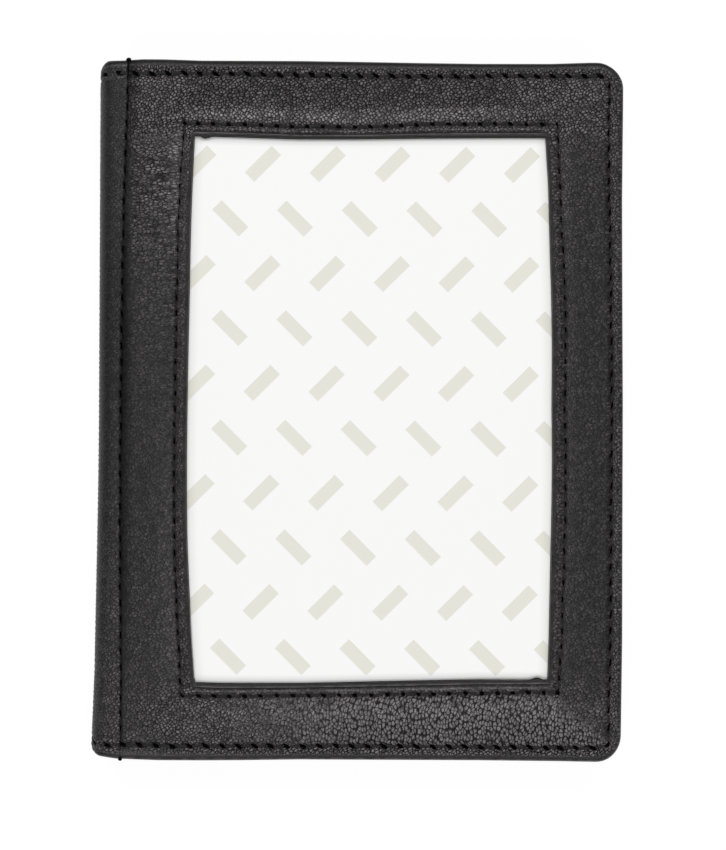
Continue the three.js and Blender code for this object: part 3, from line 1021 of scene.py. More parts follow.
# %% Painted light and shade over the padding
head_painted_light, foot_painted_light, fore_painted_light = 0.98, 0.26, 0.3
window_painted_light = (
    (-57, -50, -10, 5, 20, 30, 40, 50, 58),
    (0.0, 0.35, 0.3, 0.0, 0.0, 0.15, 0.6, 0.85, 0.0),
)
head_painted_shade, foot_painted_shade, foot_edge_painted_shade, fore_painted_shade, side_painted_shade = 0.24, 0.04, 0.07, 0.08, 0.13
spine_painted_shade = 0.5
painted_light_start, painted_light_width = -0.6, 0.8


def front_painted_light(obj):
    """Painted light and shade on the front cover: how much lighter or darker than plain leather it is drawn.
    """
    x, y, _ = places_of(obj).T
    bowed = window_bow * (1 - np.clip(y / window_head, -1, 1) ** 2)
    from_spine = x - spine_face - spine_seam - sideways(seam_run, y)
    to_left = window_left - window_seam * lip_side_share - bowed - x
    to_right = x - window_right - window_seam * lip_side_share - bowed
    to_head, to_foot = y - window_head - window_seam, window_foot - window_seam - y
    head, foot, left, right = (
        rise(off, painted_light_start, painted_light_width) for off in (to_head, to_foot, to_left, to_right)
    )
    off_bead = fall(np.abs(y), head_edge - edge_seam, painted_light_width)
    off_bead = off_bead * fall(x, fore_edge - edge_seam, painted_light_width)
    head = head * off_bead * rise(x, -40, 10) * fall(x, 36, 11)
    foot = foot * off_bead * rise(x, -36, 10)
    right = right * off_bead * fall(np.abs(y), 60, 8)
    side_painted_light = np.interp(y, *window_painted_light) * smooth(1 - to_left / 5)
    painted_light = head * (head_painted_light * bell(to_head, 1.8, 1.35) - head_painted_shade)
    painted_light = painted_light + foot * (foot_painted_light * bell(to_foot, 3.2, 1.5) - foot_painted_shade)
    painted_light = painted_light - foot * foot_edge_painted_shade * rise(to_foot, 6, 3)
    painted_light = painted_light + left * (side_painted_light - side_painted_shade * bell(y, 14, 18))
    painted_light = painted_light + right * (fore_painted_light * smooth(1 - to_right / 3.4) - fore_painted_shade)
    spine_shade_share = np.where(from_spine > 0, 1 - smooth(from_spine / 3.5), 0) * rise(y, -66, 40)
    set_trait(obj, "painted_light", painted_light - spine_painted_shade * spine_shade_share)


front_painted_light(front_panel)
print_trait(front_panel, "painted_light")

# %% [markdown]
# Most materials below need the same steps, and each step is a small function, so that a material
# reads like a list of what is done to its colour and its relief. The first ones work on numbers
# and colours: arithmetic, a mix and an eased ramp.

# %% Numbers and colours in a material
def math_node(material, operation, first, second=0.0, third=0.0):
    """One step of arithmetic, as a socket."""
    return grow(material, "Math", {0: first, 1: second, 2: third}, operation=operation).outputs[0]


def product(material, first, *others):
    """Numbers multiplied together."""
    for other in others:
        first = math_node(material, "MULTIPLY", first, other)
    return first


def float_mix(material, share, first, second):
    """Mixes two numbers."""
    return grow(material, "Mix", {0: share, 2: first, 3: second}, data_type="FLOAT").outputs[0]


def colour_mix(material, share, first, second):
    """Mixes two colours."""
    return grow(material, "Mix", {0: share, 6: first, 7: second}, data_type="RGBA").outputs[2]


def scaled(material, vector, scale):
    """A colour or a vector times a number."""
    return grow(material, "VectorMath", {0: vector, "Scale": scale}, operation="SCALE").outputs[0]


def ramp(material, value, start, end, low=0.0, high=1.0):
    """Eases a number from low to high while the value goes from start to end."""
    sockets = {"Value": value, "From Min": start, "From Max": end, "To Min": low, "To Max": high}
    return grow(material, "MapRange", sockets, interpolation_type="SMOOTHSTEP").outputs[0]


print("materials so far:", len(bpy.data.materials))

# %% [markdown]
# The other steps read the mesh and make the surface: a number kept on the mesh, the place of a
# point, a soft noise, a bump, and the one shader that ends every material. The shader is always
# the principled one, because it covers leather, thread, cloth and paper alike.

# %% Textures, relief and shader
def attribute(material, name):
    """A number kept on the mesh, as a socket."""
    return grow(material, "Attribute", attribute_name=name).outputs["Fac"]


def object_place(material):
    """The place of a point on its object."""
    return grow(material, "TexCoord").outputs["Object"]


def noise_at(material, place, scale, detail):
    """A soft noise from 0 to 1."""
    sockets = {"Vector": place, "Scale": scale, "Detail": detail}
    return grow(material, "TexNoise", sockets).outputs["Fac"]


def bumped(material, height, distance, strength):
    """Normals raised by a height, whose full size is a distance in millimetres."""
    sockets = {"Height": height, "Distance": distance * MM, "Strength": strength}
    return grow(material, "Bump", sockets).outputs[0]


def surface(material, output, colour, roughness, normal, extra=None):
    """Ends a material with one shader."""
    sockets = {"Base Color": colour, "Roughness": roughness, "Normal": normal, **(extra or {})}
    return finish_material(material, output, grow(material, "BsdfPrincipled", sockets))


kept_numbers = [kept.name for kept in front_panel.data.attributes if kept.data_type == "FLOAT"]
print("numbers kept on the front panel:", kept_numbers)

# %% [markdown]
# Pebbles are laid on the leather as if it were unrolled flat, so that they do not stretch round
# the spine, as a pattern cast straight down would. A slow and a quick noise push their places
# about, so that no straight edges show.

# %% Where pebbles lie
def warped_place(material, scale, amount, place=None):
    """A place, or else the Object coordinates, pushed about by a slow noise."""
    place = place or object_place(material)
    drift = grow(material, "TexNoise", {"Vector": place, "Scale": scale, "Detail": 2.0})
    sockets = {0: drift.outputs["Color"], 1: (0.5, 0.5, 0.5)}
    centred = grow(material, "VectorMath", sockets, operation="SUBTRACT").outputs[0]
    push = scaled(material, centred, amount)
    return grow(material, "VectorMath", {0: place, 1: push}, operation="ADD").outputs[0]


def unrolled(material, place):
    """A place on the cover as if its leather lay flat."""
    x, y, z = grow(material, "SeparateXYZ", {0: place}).outputs
    height = math_node(material, "ABSOLUTE", math_node(material, "SUBTRACT", z, mid_thickness * MM))
    return grow(material, "CombineXYZ", {0: math_node(material, "ADD", x, height), 1: y}).outputs[0]


def sized(material, place, width, height, turn):
    """A place counted in turned cells of a width and a height in millimetres."""
    scale = (width * MM, height * MM, width * MM)
    sockets = {"Vector": place, "Rotation": (0, 0, turn), "Scale": scale}
    return grow(material, "Mapping", sockets, vector_type="TEXTURE").outputs[0]


print("leather is unrolled about a height of", round(mid_thickness, 2), "mm")

# %% [markdown]
# Cells of a Voronoi texture make good pebbles: each cell gives its own tone, the distance to its
# edge gives the crease, and the distance to its middle a painted highlight on its top. A picture of
# real leather would repeat, and the three kinds of pebble could not be mixed by the numbers on the
# mesh.

# %% Pebbles
# Width, height, turn and irregularity of a pebble.
pebble_sizes = {
    "fine": (0.71, 0.56, 0.6, 0.9),
    "coarse": (0.63, 1.0, -0.16, 0.85),
    "creased": (0.98, 0.52, 0.1, 1.0),
}
crease_widths = {"fine": 0.32, "coarse": 0.26, "creased": 0.3}
dome_width = 0.4
highlight_reach = (0.15, 0.75)
coarse_crease = (0.0, 0.56)
coarse_highlight = (-0.4, 1.2)
coarse_tone = (0.34, 0.68)
coarse_mottle_scale, coarse_mottle = 2400.0, (0.35, 0.65, 0.6, 1.3)


def pebbles(material, place, size, crease_width):
    """Pebbles by width, height, turn and irregularity: their dome, crease, painted top highlight and tone.
    """
    *shape, randomness = size
    cells = {"Vector": sized(material, place, *shape), "Scale": 1.0, "Randomness": randomness}
    inwards, own = (
        grow(material, "TexVoronoi", cells, feature=feature, voronoi_dimensions="2D").outputs
        for feature in ("DISTANCE_TO_EDGE", "F1")
    )
    inwards = inwards["Distance"]
    tone = grow(material, "SeparateColor", {0: own["Color"]}).outputs[0]
    climb = grow(material, "MapRange", {"Value": inwards, "From Max": dome_width}).outputs[0]
    dome = product(material, climb, math_node(material, "SUBTRACT", 2.0, climb))
    top_highlight = ramp(material, own["Distance"], *highlight_reach, 1.0, 0.0)
    return [dome, ramp(material, inwards, 0.0, crease_width, 1.0, 0.0), top_highlight, tone]


def mixed_pebbles(material, place, coarse_share, creased_share):
    """Dome, crease, painted top highlight and tone of the three kinds of pebble, mixed by their shares."""
    flat = unrolled(material, place)
    fine, coarse, creased = (
        pebbles(material, flat, size, crease_widths[kind]) for kind, size in pebble_sizes.items()
    )
    dome, crease, top_highlight, tone = coarse
    mottle = ramp(material, noise_at(material, place, coarse_mottle_scale, 1.0), *coarse_mottle)
    crease = ramp(material, crease, 0.0, 1.0, *coarse_crease)
    top_highlight = product(material, ramp(material, top_highlight, 0.0, 1.0, *coarse_highlight), mottle)
    tone = ramp(material, tone, 0.0, 1.0, *coarse_tone)
    return [
        float_mix(material, creased_share, float_mix(material, coarse_share, *pair), third)
        for *pair, third in zip(fine, (dome, crease, top_highlight, tone), creased)
    ]


print("pebble sizes in mm:", {kind: size[:2] for kind, size in pebble_sizes.items()})

# %% [markdown]
# Beside the spine the leather is bent whenever the cover opens, and a few shallow wrinkles cross
# it. A stretched noise gives them, cut off at one level; they are bump and painted shade. The black
# of a needle hole is painted shadow, drawn from the place beside it that the mesh keeps, so that its
# rim is finer than the faces there.

# %% Wrinkles and holes
wrinkle_size, wrinkle_edge = (2.6, 0.66, 0.1), (0.4, 0.5)
hole_rim = (0.55, 1.3)


def wrinkles(material, place):
    """Shallow wrinkles that run across the strip beside the spine, 1 in their depth."""
    folds = noise_at(material, sized(material, place, *wrinkle_size), 1.0, 1.0)
    return ramp(material, folds, *wrinkle_edge, 1.0, 0.0)


def hole_shadow(material):
    """1 in the painted shadow of a needle hole, from the place beside it that is kept on the mesh."""
    along, across = (attribute(material, trait) for trait in ("hole_along", "hole_across"))
    reach = math_node(material, "MULTIPLY_ADD", across, across, product(material, along, along))
    return ramp(material, reach, *hole_rim, 1.0, 0.0)


print("a wrinkle is about", wrinkle_size[0], "mm long")

# %% [markdown]
# Black pebbled leather is nearly even in colour. What the eye reads is the glint on the pebbles and
# the darker net of creases between them, and here both are painted into the colour: a painted
# highlight on the pebbles' tops, painted shade in the creases and wrinkles, painted shadow in the
# needle holes, and the painted light and shade that the mesh keeps. The numbers on the mesh say where
# each is strong. Pebbles half a millimetre wide would take millions of faces, so they are bump and
# colour, and only the seams and holes are real.

# %% Leather
slow_warp, quick_warp = (520.0, 0.0006), (2300.0, 0.0003)
patch_scale, patch_bold, patch_light = 560.0, (0.33, 0.67, 0.72, 1.14), (0.35, 0.6, 0.3, 1.0)
pore_scale, pore_light = 5200.0, (0.35, 0.65, 0.6, 1.4)
pebble_relief, pore_relief, wrinkle_relief = 0.12, 0.2, -0.5
hold_power = 0.6
least_highlight, tone_light = 0.22, (0.3, 1.2)
deepest_crease, deepest_wrinkle = 0.88, 0.85
crease_dull, leather_gloss, creased_gloss = 0.78, (0.34, 0.02), (0.3, 1.0, 1.0, 1.3)
leather_rough = (0.36, 0.6)
# The crease colour paints shade in the creases, the light pebble colour paints a highlight on the pebbles'
# tops, and the hole colour paints the shadow in the needle holes.
crease_shade_colour = (0.0075, 0.0070, 0.0073, 1)
pebble_colour = (0.0086, 0.0080, 0.0080, 1)
pebble_highlight_colour = (0.190, 0.175, 0.179, 1)
hole_shadow_colour = (0.0008, 0.0008, 0.0008, 1)


def pebbled_leather(name):
    """Black leather with pebbles and creases, painted highlight and shade, and needle holes painted black as
    shadow.
    """
    material, output = new_material(name)
    place = warped_place(material, *quick_warp, warped_place(material, *slow_warp))
    coarse, creased = (attribute(material, trait) for trait in ("coarse", "creased"))
    dome, crease, top_highlight, tone = mixed_pebbles(material, place, coarse, creased)
    patches = noise_at(material, place, patch_scale, 3.0)
    pores = noise_at(material, place, pore_scale, 2.0)
    speckle = ramp(material, pores, *pore_light)
    strength = product(material, attribute(material, "grain"), ramp(material, patches, *patch_bold))
    hold = math_node(material, "POWER", strength, hold_power)
    wrinkled = product(material, wrinkles(material, place), creased)

    relief = product(material, dome, strength)
    relief = math_node(material, "MULTIPLY_ADD", pores, pore_relief, relief)
    relief = math_node(material, "MULTIPLY_ADD", wrinkled, wrinkle_relief, relief)
    normal = bumped(material, relief, pebble_relief, 1.0)

    # Painted highlight: the pebbles' tops are drawn in a lighter colour, as if they caught the lamps.
    top = math_node(material, "MULTIPLY_ADD", top_highlight, 1 - least_highlight, least_highlight)
    tone = ramp(material, tone, 0.0, 1.0, *tone_light)
    highlight_share = product(material, top, tone, speckle, strength, hold)
    # Painted highlight along the ridges of the bead and the lip.
    line = product(material, attribute(material, "painted_highlight"), ramp(material, patches, *patch_light))
    highlight_share = math_node(material, "MAXIMUM", highlight_share, line)
    # Painted shade in the creases and the wrinkles: the colour goes towards the crease colour.
    depth = math_node(material, "MINIMUM", product(material, crease, hold), deepest_crease)
    fold = product(material, wrinkled, hold, deepest_wrinkle)
    depth = math_node(material, "MAXIMUM", depth, fold)
    # Painted shadow in the needle holes and the painted shade kept on the mesh, both drawn near black.
    black = math_node(material, "MAXIMUM", hole_shadow(material), attribute(material, "painted_shade"))
    # Painted light and shade over the padding: the number kept on the mesh scales the colour and the gloss.
    level = math_node(material, "ADD", attribute(material, "painted_light"), 1.0)

    colour = colour_mix(material, highlight_share, pebble_colour, pebble_highlight_colour)
    colour = colour_mix(material, depth, colour, crease_shade_colour)
    colour = colour_mix(material, black, scaled(material, colour, level), hole_shadow_colour)
    dull = math_node(material, "MAXIMUM", black, product(material, depth, crease_dull))
    gloss = ramp(material, dull, 0.0, 1.0, *leather_gloss)
    gloss = product(material, gloss, speckle, ramp(material, creased, *creased_gloss), level)
    roughness = ramp(material, depth, 0.0, 1.0, *leather_rough)
    return surface(material, output, colour, roughness, normal, {"Specular IOR Level": gloss})


black_leather = pebbled_leather("black_leather")
dress(front_panel, black_leather)
print("black leather:", len(black_leather.node_tree.nodes), "nodes")

# %% [markdown]
# The back cover is dressed the same way without a window. Its edge and spine strip are the front's
# turned over, and its field is a low, flat-topped pad that the cover lies on. The rings of its
# field stop at an inner loop, which the weld then closes with one flat face, because a flat field
# needs no more points.

# %% Back panel
field_lift = 0.45
field_slope = 0.55
field_lanes = 9
field_grain = 0.75


def turned_over(obj):
    """Mirrors a finished front piece to the back of the closed cover."""
    select_only(obj)
    bpy.ops.object.mode_set(mode="EDIT")
    bpy.ops.mesh.select_all(action="SELECT")
    bpy.ops.transform.resize(value=(1, 1, -1), center_override=(0, 0, mid_thickness * MM))
    face_outwards()
    return obj


def back_field(shares, lift_of, grain):
    """Rings from the panel's border towards the middle of the back cover."""
    border, inner = border_loop(), window_loop(0)
    rings = closed([with_height(mixed(share, border, inner), lift_of(share)) for share in shares])
    values = zip(trait_names, (grain, 0.0, 0.0, no_hole, no_hole))
    return carried_grid("back_field", rings, {t: np.full(rings.shape[:2], v) for t, v in values})


def field_outside(share):
    """Lift of the back's field, from the border at 0 to its flat top."""
    return mixed(smooth(share / field_slope), ring_border_lift, field_lift)


outer_field = back_field(np.linspace(0, 1, field_lanes), field_outside, field_grain)
inner_field = back_field([0.0, 1.0], lambda share: -leather_thick, 0.0)
back_panel = welded("back_leather_panel", [outer_field, inner_field, cover_edge(), spine_strip()])
turned_over(back_panel)
dress(back_panel, black_leather)

# %% [markdown]
# Every stitch is a short length of twisted thread that comes out of one hole, lies in the groove
# and dives into the next. A curve with a round section could run along the whole seam, but then no
# stitch would end. So one stitch is modelled from a cylinder, cut a few times along its length and
# arched, and copied along the seams, each copy turned to the seam's direction.

# %% One stitch
thread_radius = 0.27
thread_sides = 6
thread_dip = 1.2
dip_start = 0.36
stitch_cuts = 7


def edit_where(obj, kind, chosen):
    """Goes into edit mode with only those vertices or edges selected that a test picks."""
    bpy.ops.object.mode_set(mode="EDIT")
    bpy.ops.mesh.select_mode(type=kind)
    bpy.ops.mesh.select_all(action="DESELECT")
    bpy.ops.object.mode_set(mode="OBJECT")
    for part in obj.data.vertices if kind == "VERT" else obj.data.edges:
        part.select = chosen(part)
    bpy.ops.object.mode_set(mode="EDIT")


def one_stitch():
    """A stitch along X, arched so that both its ends dive."""
    bpy.ops.mesh.primitive_cylinder_add(
        vertices=thread_sides, radius=thread_radius * MM, depth=stitch_pitch * MM,
        rotation=(0, math.pi / 2, 0),
    )
    stitch = bpy.context.object
    bpy.ops.object.transform_apply(rotation=True)
    half = stitch_pitch / 2 * MM

    def runs_along(edge):
        first, second = (stitch.data.vertices[index].co.x for index in edge.vertices)
        return abs(first - second) > half

    edit_where(stitch, "EDGE", runs_along)
    bpy.ops.mesh.subdivide(number_cuts=stitch_cuts)
    bpy.ops.object.mode_set(mode="OBJECT")
    for point in stitch.data.vertices:
        end = abs(point.co.x) / half
        point.co.z -= thread_dip * MM * float(rise(end, dip_start, 1 - dip_start))
    bpy.ops.object.shade_smooth()
    return stitch


print("a stitch is", stitch_pitch, "mm long and", 2 * thread_radius, "mm thick")

# %% [markdown]
# A row of stitches is one piece. Each copy of the stitch is stretched to the distance between its
# two holes, and those on the long sides are slimmer, because on the real cover the thread is pulled
# tighter there. An array modifier would give every stitch one length and one turn.

# %% Sew a row
side_stitch_share = 0.62


def sew(name, seams):
    """Copies the stitch along seams, each a list of (start, end, outward) in millimetres."""
    model = one_stitch()
    copies = []
    for start, end, outward in seams:
        start, end = Vector(start), Vector(end)
        ahead = (end - start).normalized()
        across = Vector(outward).cross(ahead).normalized()
        up = ahead.cross(across)
        slim = side_stitch_share if abs(ahead.y) > abs(ahead.x) else 1.0
        stretch = ahead * ((end - start).length / stitch_pitch * (1 + slim) / 2)
        turn = Matrix((stretch, across * slim, up * slim)).transposed().to_4x4()
        copy = model.copy()
        copy.data = model.data.copy()
        copy.matrix_world = Matrix.Translation((start + end) / 2 * MM) @ turn
        bpy.context.collection.objects.link(copy)
        copies.append(copy)
    bpy.data.objects.remove(model)
    select_only(*copies)
    bpy.ops.object.join()
    row = named(bpy.context.object, name)
    bpy.ops.object.transform_apply(location=True, rotation=True, scale=True)
    print(name, len(copies), "stitches")
    return row


# %% [markdown]
# The seams are walked hole by hole: round the window, along the edge and on round the fold to the
# middle of the spine, and down the spine strip. The same formulas that sank the holes into the
# leather give the places, so that every stitch ends in a hole.

# %% Walk along the seams
thread_lift = -0.06
last_run = strip_runs[-1]
upwards = (0, 0, 1)


def edge_hole(count):
    """Place of a hole of the edge seam and the outward direction there, also round the fold."""
    distance = first_hole + count * edge_pitch
    if 0 <= distance <= edge_length:
        plan = edge_loop(edge_seam)
        x, y = (np.interp(distance, edge_run, plan[:, axis]) for axis in (0, 1))
        return (x, y, edge_level + thread_lift), upwards
    end = 1 if distance < 0 else -1
    run = first_run + max(-distance, distance - edge_length)
    run = run + sideways(run, end * (head_edge - edge_seam))
    y = end * (head_edge - edge_seam - end_rounding(run))
    x, z = around_fold(run, thread_lift)
    angle = np.clip(run / fold_radius, 0, math.pi / 2)
    return (x + sideways(run, y), y, z), (-math.sin(angle), 0, math.cos(angle))


def edge_row():
    """Stitches of the edge seam, from the middle of the spine at the head to the one at the foot."""
    beyond = last_run - first_run
    first = math.ceil((-beyond - first_hole) / edge_pitch)
    last = math.floor((edge_length + beyond - first_hole) / edge_pitch)
    holes = [edge_hole(count) for count in range(first, last + 1)]
    return [(a[0], b[0], np.add(a[1], b[1])) for a, b in zip(holes, holes[1:])]


def window_row():
    """Stitches round the window."""
    plan = window_loop(window_seam)[::stations_per_stitch]
    holes = with_height(np.concatenate([plan, plan[:1]]), window_seam_lift + thread_lift)
    return [(a, b, upwards) for a, b in zip(holes, holes[1:])]


def spine_row():
    """Stitches down the spine strip."""
    count = int((head_edge - panel_border) / stitch_pitch)
    y = np.arange(-count, count + 1) * stitch_pitch
    x, z = around_fold(seam_run, thread_lift)
    holes = np.column_stack([x + sideways(seam_run, y), y, np.full(len(y), z)])
    return [(a, b, upwards) for a, b in zip(holes, holes[1:])]


front_edge_row = sew("front_edge_stitches", edge_row())
window_stitches = sew("window_stitches", window_row())
front_spine_row = sew("front_spine_stitches", spine_row())
back_edge_row = turned_over(sew("back_edge_stitches", edge_row()))
back_spine_row = turned_over(sew("back_spine_stitches", spine_row()))

# %% [markdown]
# Where the spine seam ends, its thread goes on over the bead and round the edge of the cover, and
# shows as a small lump at the head and the foot. At the foot it is pulled in deeper than at the
# head. Here nothing has to end in a hole, so a curve with a round section follows the edge section
# and is then made a mesh, with a flattened ball for the knot.

# %% Thread over the head and foot edges
at_head, at_foot = 1, -1
loop_radius = 0.23
loop_rise = {at_head: 0.3, at_foot: -1.0}
knot_radius = {at_head: 0.52, at_foot: 0.4}
knot_inset = 0.02
knot_shape = (1, 0.8, 0.8)
knot_segments, knot_rings = 14, 8


def add_to(piece, *extra):
    """Joins more meshes into a finished piece."""
    select_only(piece, *extra)
    bpy.ops.object.join()


def beside_seam(y, lift):
    """A place on the spine seam, in metres."""
    x, z = around_fold(seam_run, lift)
    return Vector((x + sideways(seam_run, y), y, z)) * MM


def thread_over_edge(name, end):
    """A length of thread that goes over the edge of the cover at one end of the spine seam."""
    lanes = range(0, flat_lanes + roll_steps - 2)
    curve = bpy.data.curves.new(name, "CURVE")
    curve.dimensions = "3D"
    curve.bevel_depth = loop_radius * MM
    curve.bevel_resolution = 1
    curve.use_fill_caps = True
    spline = curve.splines.new("POLY")
    spline.points.add(len(lanes) - 1)
    outward = loop_radius * loop_rise[end]
    for point, lane in zip(spline.points, lanes):
        turn = max(lane - flat_lanes, 0) / roll_steps * math.pi
        y = end * (head_edge - section_inset[lane] + outward * math.sin(turn))
        point.co = (*beside_seam(y, section_lift[lane] + outward * math.cos(turn)), 1)
    obj = bpy.data.objects.new(name, curve)
    bpy.context.collection.objects.link(obj)
    select_only(obj)
    bpy.ops.object.convert(target="MESH")
    bpy.ops.mesh.primitive_uv_sphere_add(
        segments=knot_segments, ring_count=knot_rings, radius=knot_radius[end] * MM,
        location=beside_seam(end * (head_edge - knot_inset), -knot_inset),
    )
    knot = bpy.context.object
    knot.scale = knot_shape
    bpy.ops.object.transform_apply(location=True, scale=True)
    add_to(obj, knot)
    bpy.ops.object.shade_smooth()
    return obj


front_loops = [thread_over_edge("front_loop", end) for end in (at_head, at_foot)]
back_loops = [turned_over(thread_over_edge("back_loop", end)) for end in (at_head, at_foot)]
print("loops of thread:", len(front_loops) + len(back_loops))

# %% [markdown]
# Bonded thread has two strands laid together. Two twisted cylinders for each stitch would be many
# faces for something half a millimetre wide, so the strands are a slanted stripe on the cylinder's
# own UV map, and the twist follows each stitch.

# %% Thread
strand_count = (14.0, 6.0, 1.0)
strand_relief = 0.08
strand_shade = 0.5
thread_rough = 0.55


def darker(colour, share):
    """A colour with only a share of its light."""
    return tuple(share * channel for channel in colour[:3]) + (1,)


def twisted_thread(name, colour, gloss):
    """Dark bonded thread with a visible twist."""
    material, output = new_material(name)
    uv = grow(material, "TexCoord").outputs["UV"]
    turned = grow(material, "Mapping", {"Vector": uv, "Scale": strand_count}).outputs[0]
    sockets = {"Vector": turned, "Scale": 1.0, "Distortion": 0.4}
    strands = grow(material, "TexWave", sockets, bands_direction="DIAGONAL").outputs["Fac"]
    normal = bumped(material, strands, strand_relief, 0.8)
    shade = colour_mix(material, strands, darker(colour, strand_shade), colour)
    return surface(material, output, shade, thread_rough, normal, {"Specular IOR Level": gloss})


black_thread = twisted_thread("black_thread", (0.045, 0.043, 0.045, 1), 0.3)
# A darker copy of the thread for the spine seam paints the shade in its groove.
shaded_thread = twisted_thread("shaded_thread", (0.03, 0.029, 0.03, 1), 0.2)
knotted_thread = twisted_thread("knotted_thread", (0.004, 0.004, 0.004, 1), 0.08)
for row in (front_edge_row, window_stitches, back_edge_row):
    dress(row, black_thread)
for row, loops in ((front_spine_row, front_loops), (back_spine_row, back_loops)):
    dress(row, shaded_thread)
    for loop in loops:
        dress(loop, knotted_thread)
    add_to(row, *loops)
    print(row.name, "with its loops:", len(row.data.polygons), "faces")

# %% [markdown]
# Linings and pockets are cut from flat stuff with two rounded corners at the fore edge. A plane
# whose two fore corners are bevelled is the quickest way to such a shape. Solidify then gives a
# cloth or a paper its thickness, so that its cut edge shows.

# %% Flat stuff with rounded corners
corner_segments = 8
flat_angle = math.radians(40)


def rounded_plane(name, low, high, radius, height):
    """A plane from corner to corner in millimetres, with its two fore corners rounded."""
    bpy.ops.mesh.primitive_plane_add(size=1)
    obj = named(bpy.context.object, name)
    for point in obj.data.vertices:
        x = high[0] if point.co.x > 0 else low[0]
        y = high[1] if point.co.y > 0 else low[1]
        point.co = Vector((x, y, height)) * MM
    middle = (low[0] + high[0]) / 2 * MM
    edit_where(obj, "VERT", lambda point: point.co.x > middle)
    bpy.ops.mesh.bevel(offset=radius * MM, segments=corner_segments, affect="VERTICES")
    bpy.ops.object.mode_set(mode="OBJECT")
    return obj


def thicken(sheet, thick):
    """Gives a thin sheet its thickness, below its face."""
    solid = sheet.modifiers.new("thickness", "SOLIDIFY")
    solid.thickness = thick * MM
    solid.offset = -1
    select_only(sheet)
    bpy.ops.object.modifier_apply(modifier=solid.name)
    bpy.ops.object.shade_smooth_by_angle(angle=flat_angle)


print("a rounded corner has", corner_segments, "segments")

# %% [markdown]
# Inside, each cover is lined with thin cloth that runs on round the fold to the middle of the
# spine. The lining's edge at the spine is extruded round the fold, a step at a time, because cloth
# that is glued down follows the board and needs no simulation.

# %% Linings
lining_setback = 1.2
lining_depth = 1.86
lining_thick = 0.25
lining_steps = 14
same_place = 1e-6


def cover_lining(name):
    """The front cover's lining, from its fore edge to the middle of the spine."""
    low = (border_left, foot_edge + lining_setback)
    high = (fore_edge - lining_setback, head_edge - lining_setback)
    cloth = rounded_plane(name, low, high, fore_radius - lining_setback, edge_level - lining_depth)

    def at_spine(edge):
        ends = (cloth.data.vertices[index].co.x for index in edge.vertices)
        return all(abs(x - low[0] * MM) < same_place for x in ends)

    edit_where(cloth, "EDGE", at_spine)
    before = np.array(around_fold(first_run, -lining_depth))
    for run in np.linspace(first_run, last_run, lining_steps + 1)[1:]:
        after = np.array(around_fold(run, -lining_depth))
        step = (after - before) * MM
        bpy.ops.mesh.extrude_edges_move(TRANSFORM_OT_translate={"value": (step[0], 0, step[1])})
        before = after
    face_outwards()
    thicken(cloth, lining_thick)
    return cloth


front_lining = cover_lining("front_lining_cloth")
back_lining = turned_over(cover_lining("back_lining_cloth"))

# %% [markdown]
# A passport's covers slip into two leather pockets. Each pocket is a plate with rounded fore
# corners, sewn down on three sides. It could be built from a flap and a frame, but a box cut from
# its lining side leaves the same slot, open towards the spine. A small bevel softens the cut edges.

# %% Pockets
pocket_setback = 1.0
pocket_width = 60.0
pocket_top = 3.1
pocket_bottom = 2.15
slot_height = 0.45
slot_margin = 6.0
slot_beyond = 1
soft_edge, soft_segments = 0.14, 2


def slot_box(low, high):
    """The box that is cut from a pocket, open towards the spine and the lining."""
    level = edge_level - pocket_bottom
    slot_low = Vector((low[0] - slot_beyond, low[1] + slot_margin, level - slot_height))
    slot_high = Vector((high[0] - slot_margin, high[1] - slot_margin, level + slot_beyond))
    bpy.ops.mesh.primitive_cube_add(size=1)
    slot = bpy.context.object
    slot.location = (slot_low + slot_high) / 2 * MM
    slot.scale = (slot_high - slot_low) * MM
    return slot


def cover_pocket(name):
    """The pocket inside the front cover."""
    low = (fore_edge - pocket_width, foot_edge + pocket_setback)
    high = (fore_edge - pocket_setback, head_edge - pocket_setback)
    pocket = rounded_plane(name, low, high, fore_radius - pocket_setback, edge_level - pocket_top)
    bpy.ops.object.mode_set(mode="EDIT")
    bpy.ops.mesh.select_all(action="SELECT")
    bpy.ops.mesh.extrude_region_move(
        TRANSFORM_OT_translate={"value": (0, 0, (pocket_top - pocket_bottom) * MM)}
    )
    face_outwards()
    slot = slot_box(low, high)
    cut = pocket.modifiers.new("slot", "BOOLEAN")
    cut.object = slot
    cut.operation = "DIFFERENCE"
    cut.solver = "EXACT"
    soften = pocket.modifiers.new("soft_edges", "BEVEL")
    soften.width = soft_edge * MM
    soften.segments = soft_segments
    select_only(pocket)
    for modifier in (cut.name, soften.name):
        bpy.ops.object.modifier_apply(modifier=modifier)
    bpy.ops.object.shade_smooth_by_angle(angle=flat_angle)
    bpy.data.objects.remove(slot)
    return pocket


front_pocket = cover_pocket("front_pocket")
back_pocket = turned_over(cover_pocket("back_pocket"))
print("each pocket:", len(front_pocket.data.polygons), "faces")

# %% [markdown]
# The needle goes through everything, so the edge seam shows inside too, on the lining near the
# spine and on the pocket beyond it. The row is sewn at the same holes as outside, only lower.

# %% Stitches inside
inner_sink = 0.4


def inner_row():
    """Stitches of the edge seam as they show inside the front cover."""
    seam = []
    holes = [edge_hole(count)[0] for count in range(edge_stitches + 1)]
    for start, end in zip(holes, holes[1:]):
        middle = (start[0] + end[0]) / 2
        on_pocket = middle > fore_edge - pocket_width
        depth = pocket_top if on_pocket else lining_depth + lining_thick
        z = edge_level - depth + thread_radius * inner_sink
        seam.append(((*start[:2], z), (*end[:2], z), (0, 0, -1)))
    return seam


front_inner_row = sew("front_inner_stitches", inner_row())
back_inner_row = turned_over(sew("back_inner_stitches", inner_row()))

# %% [markdown]
# The liner is thin coated paper on the film that will hold a picture. It lies inside the lip with
# a faint ripple, as paper does. A flat plane would look like glass, so a grid is carried to the
# window's bowed outline, rippled by a slow noise and given its thickness by Solidify.

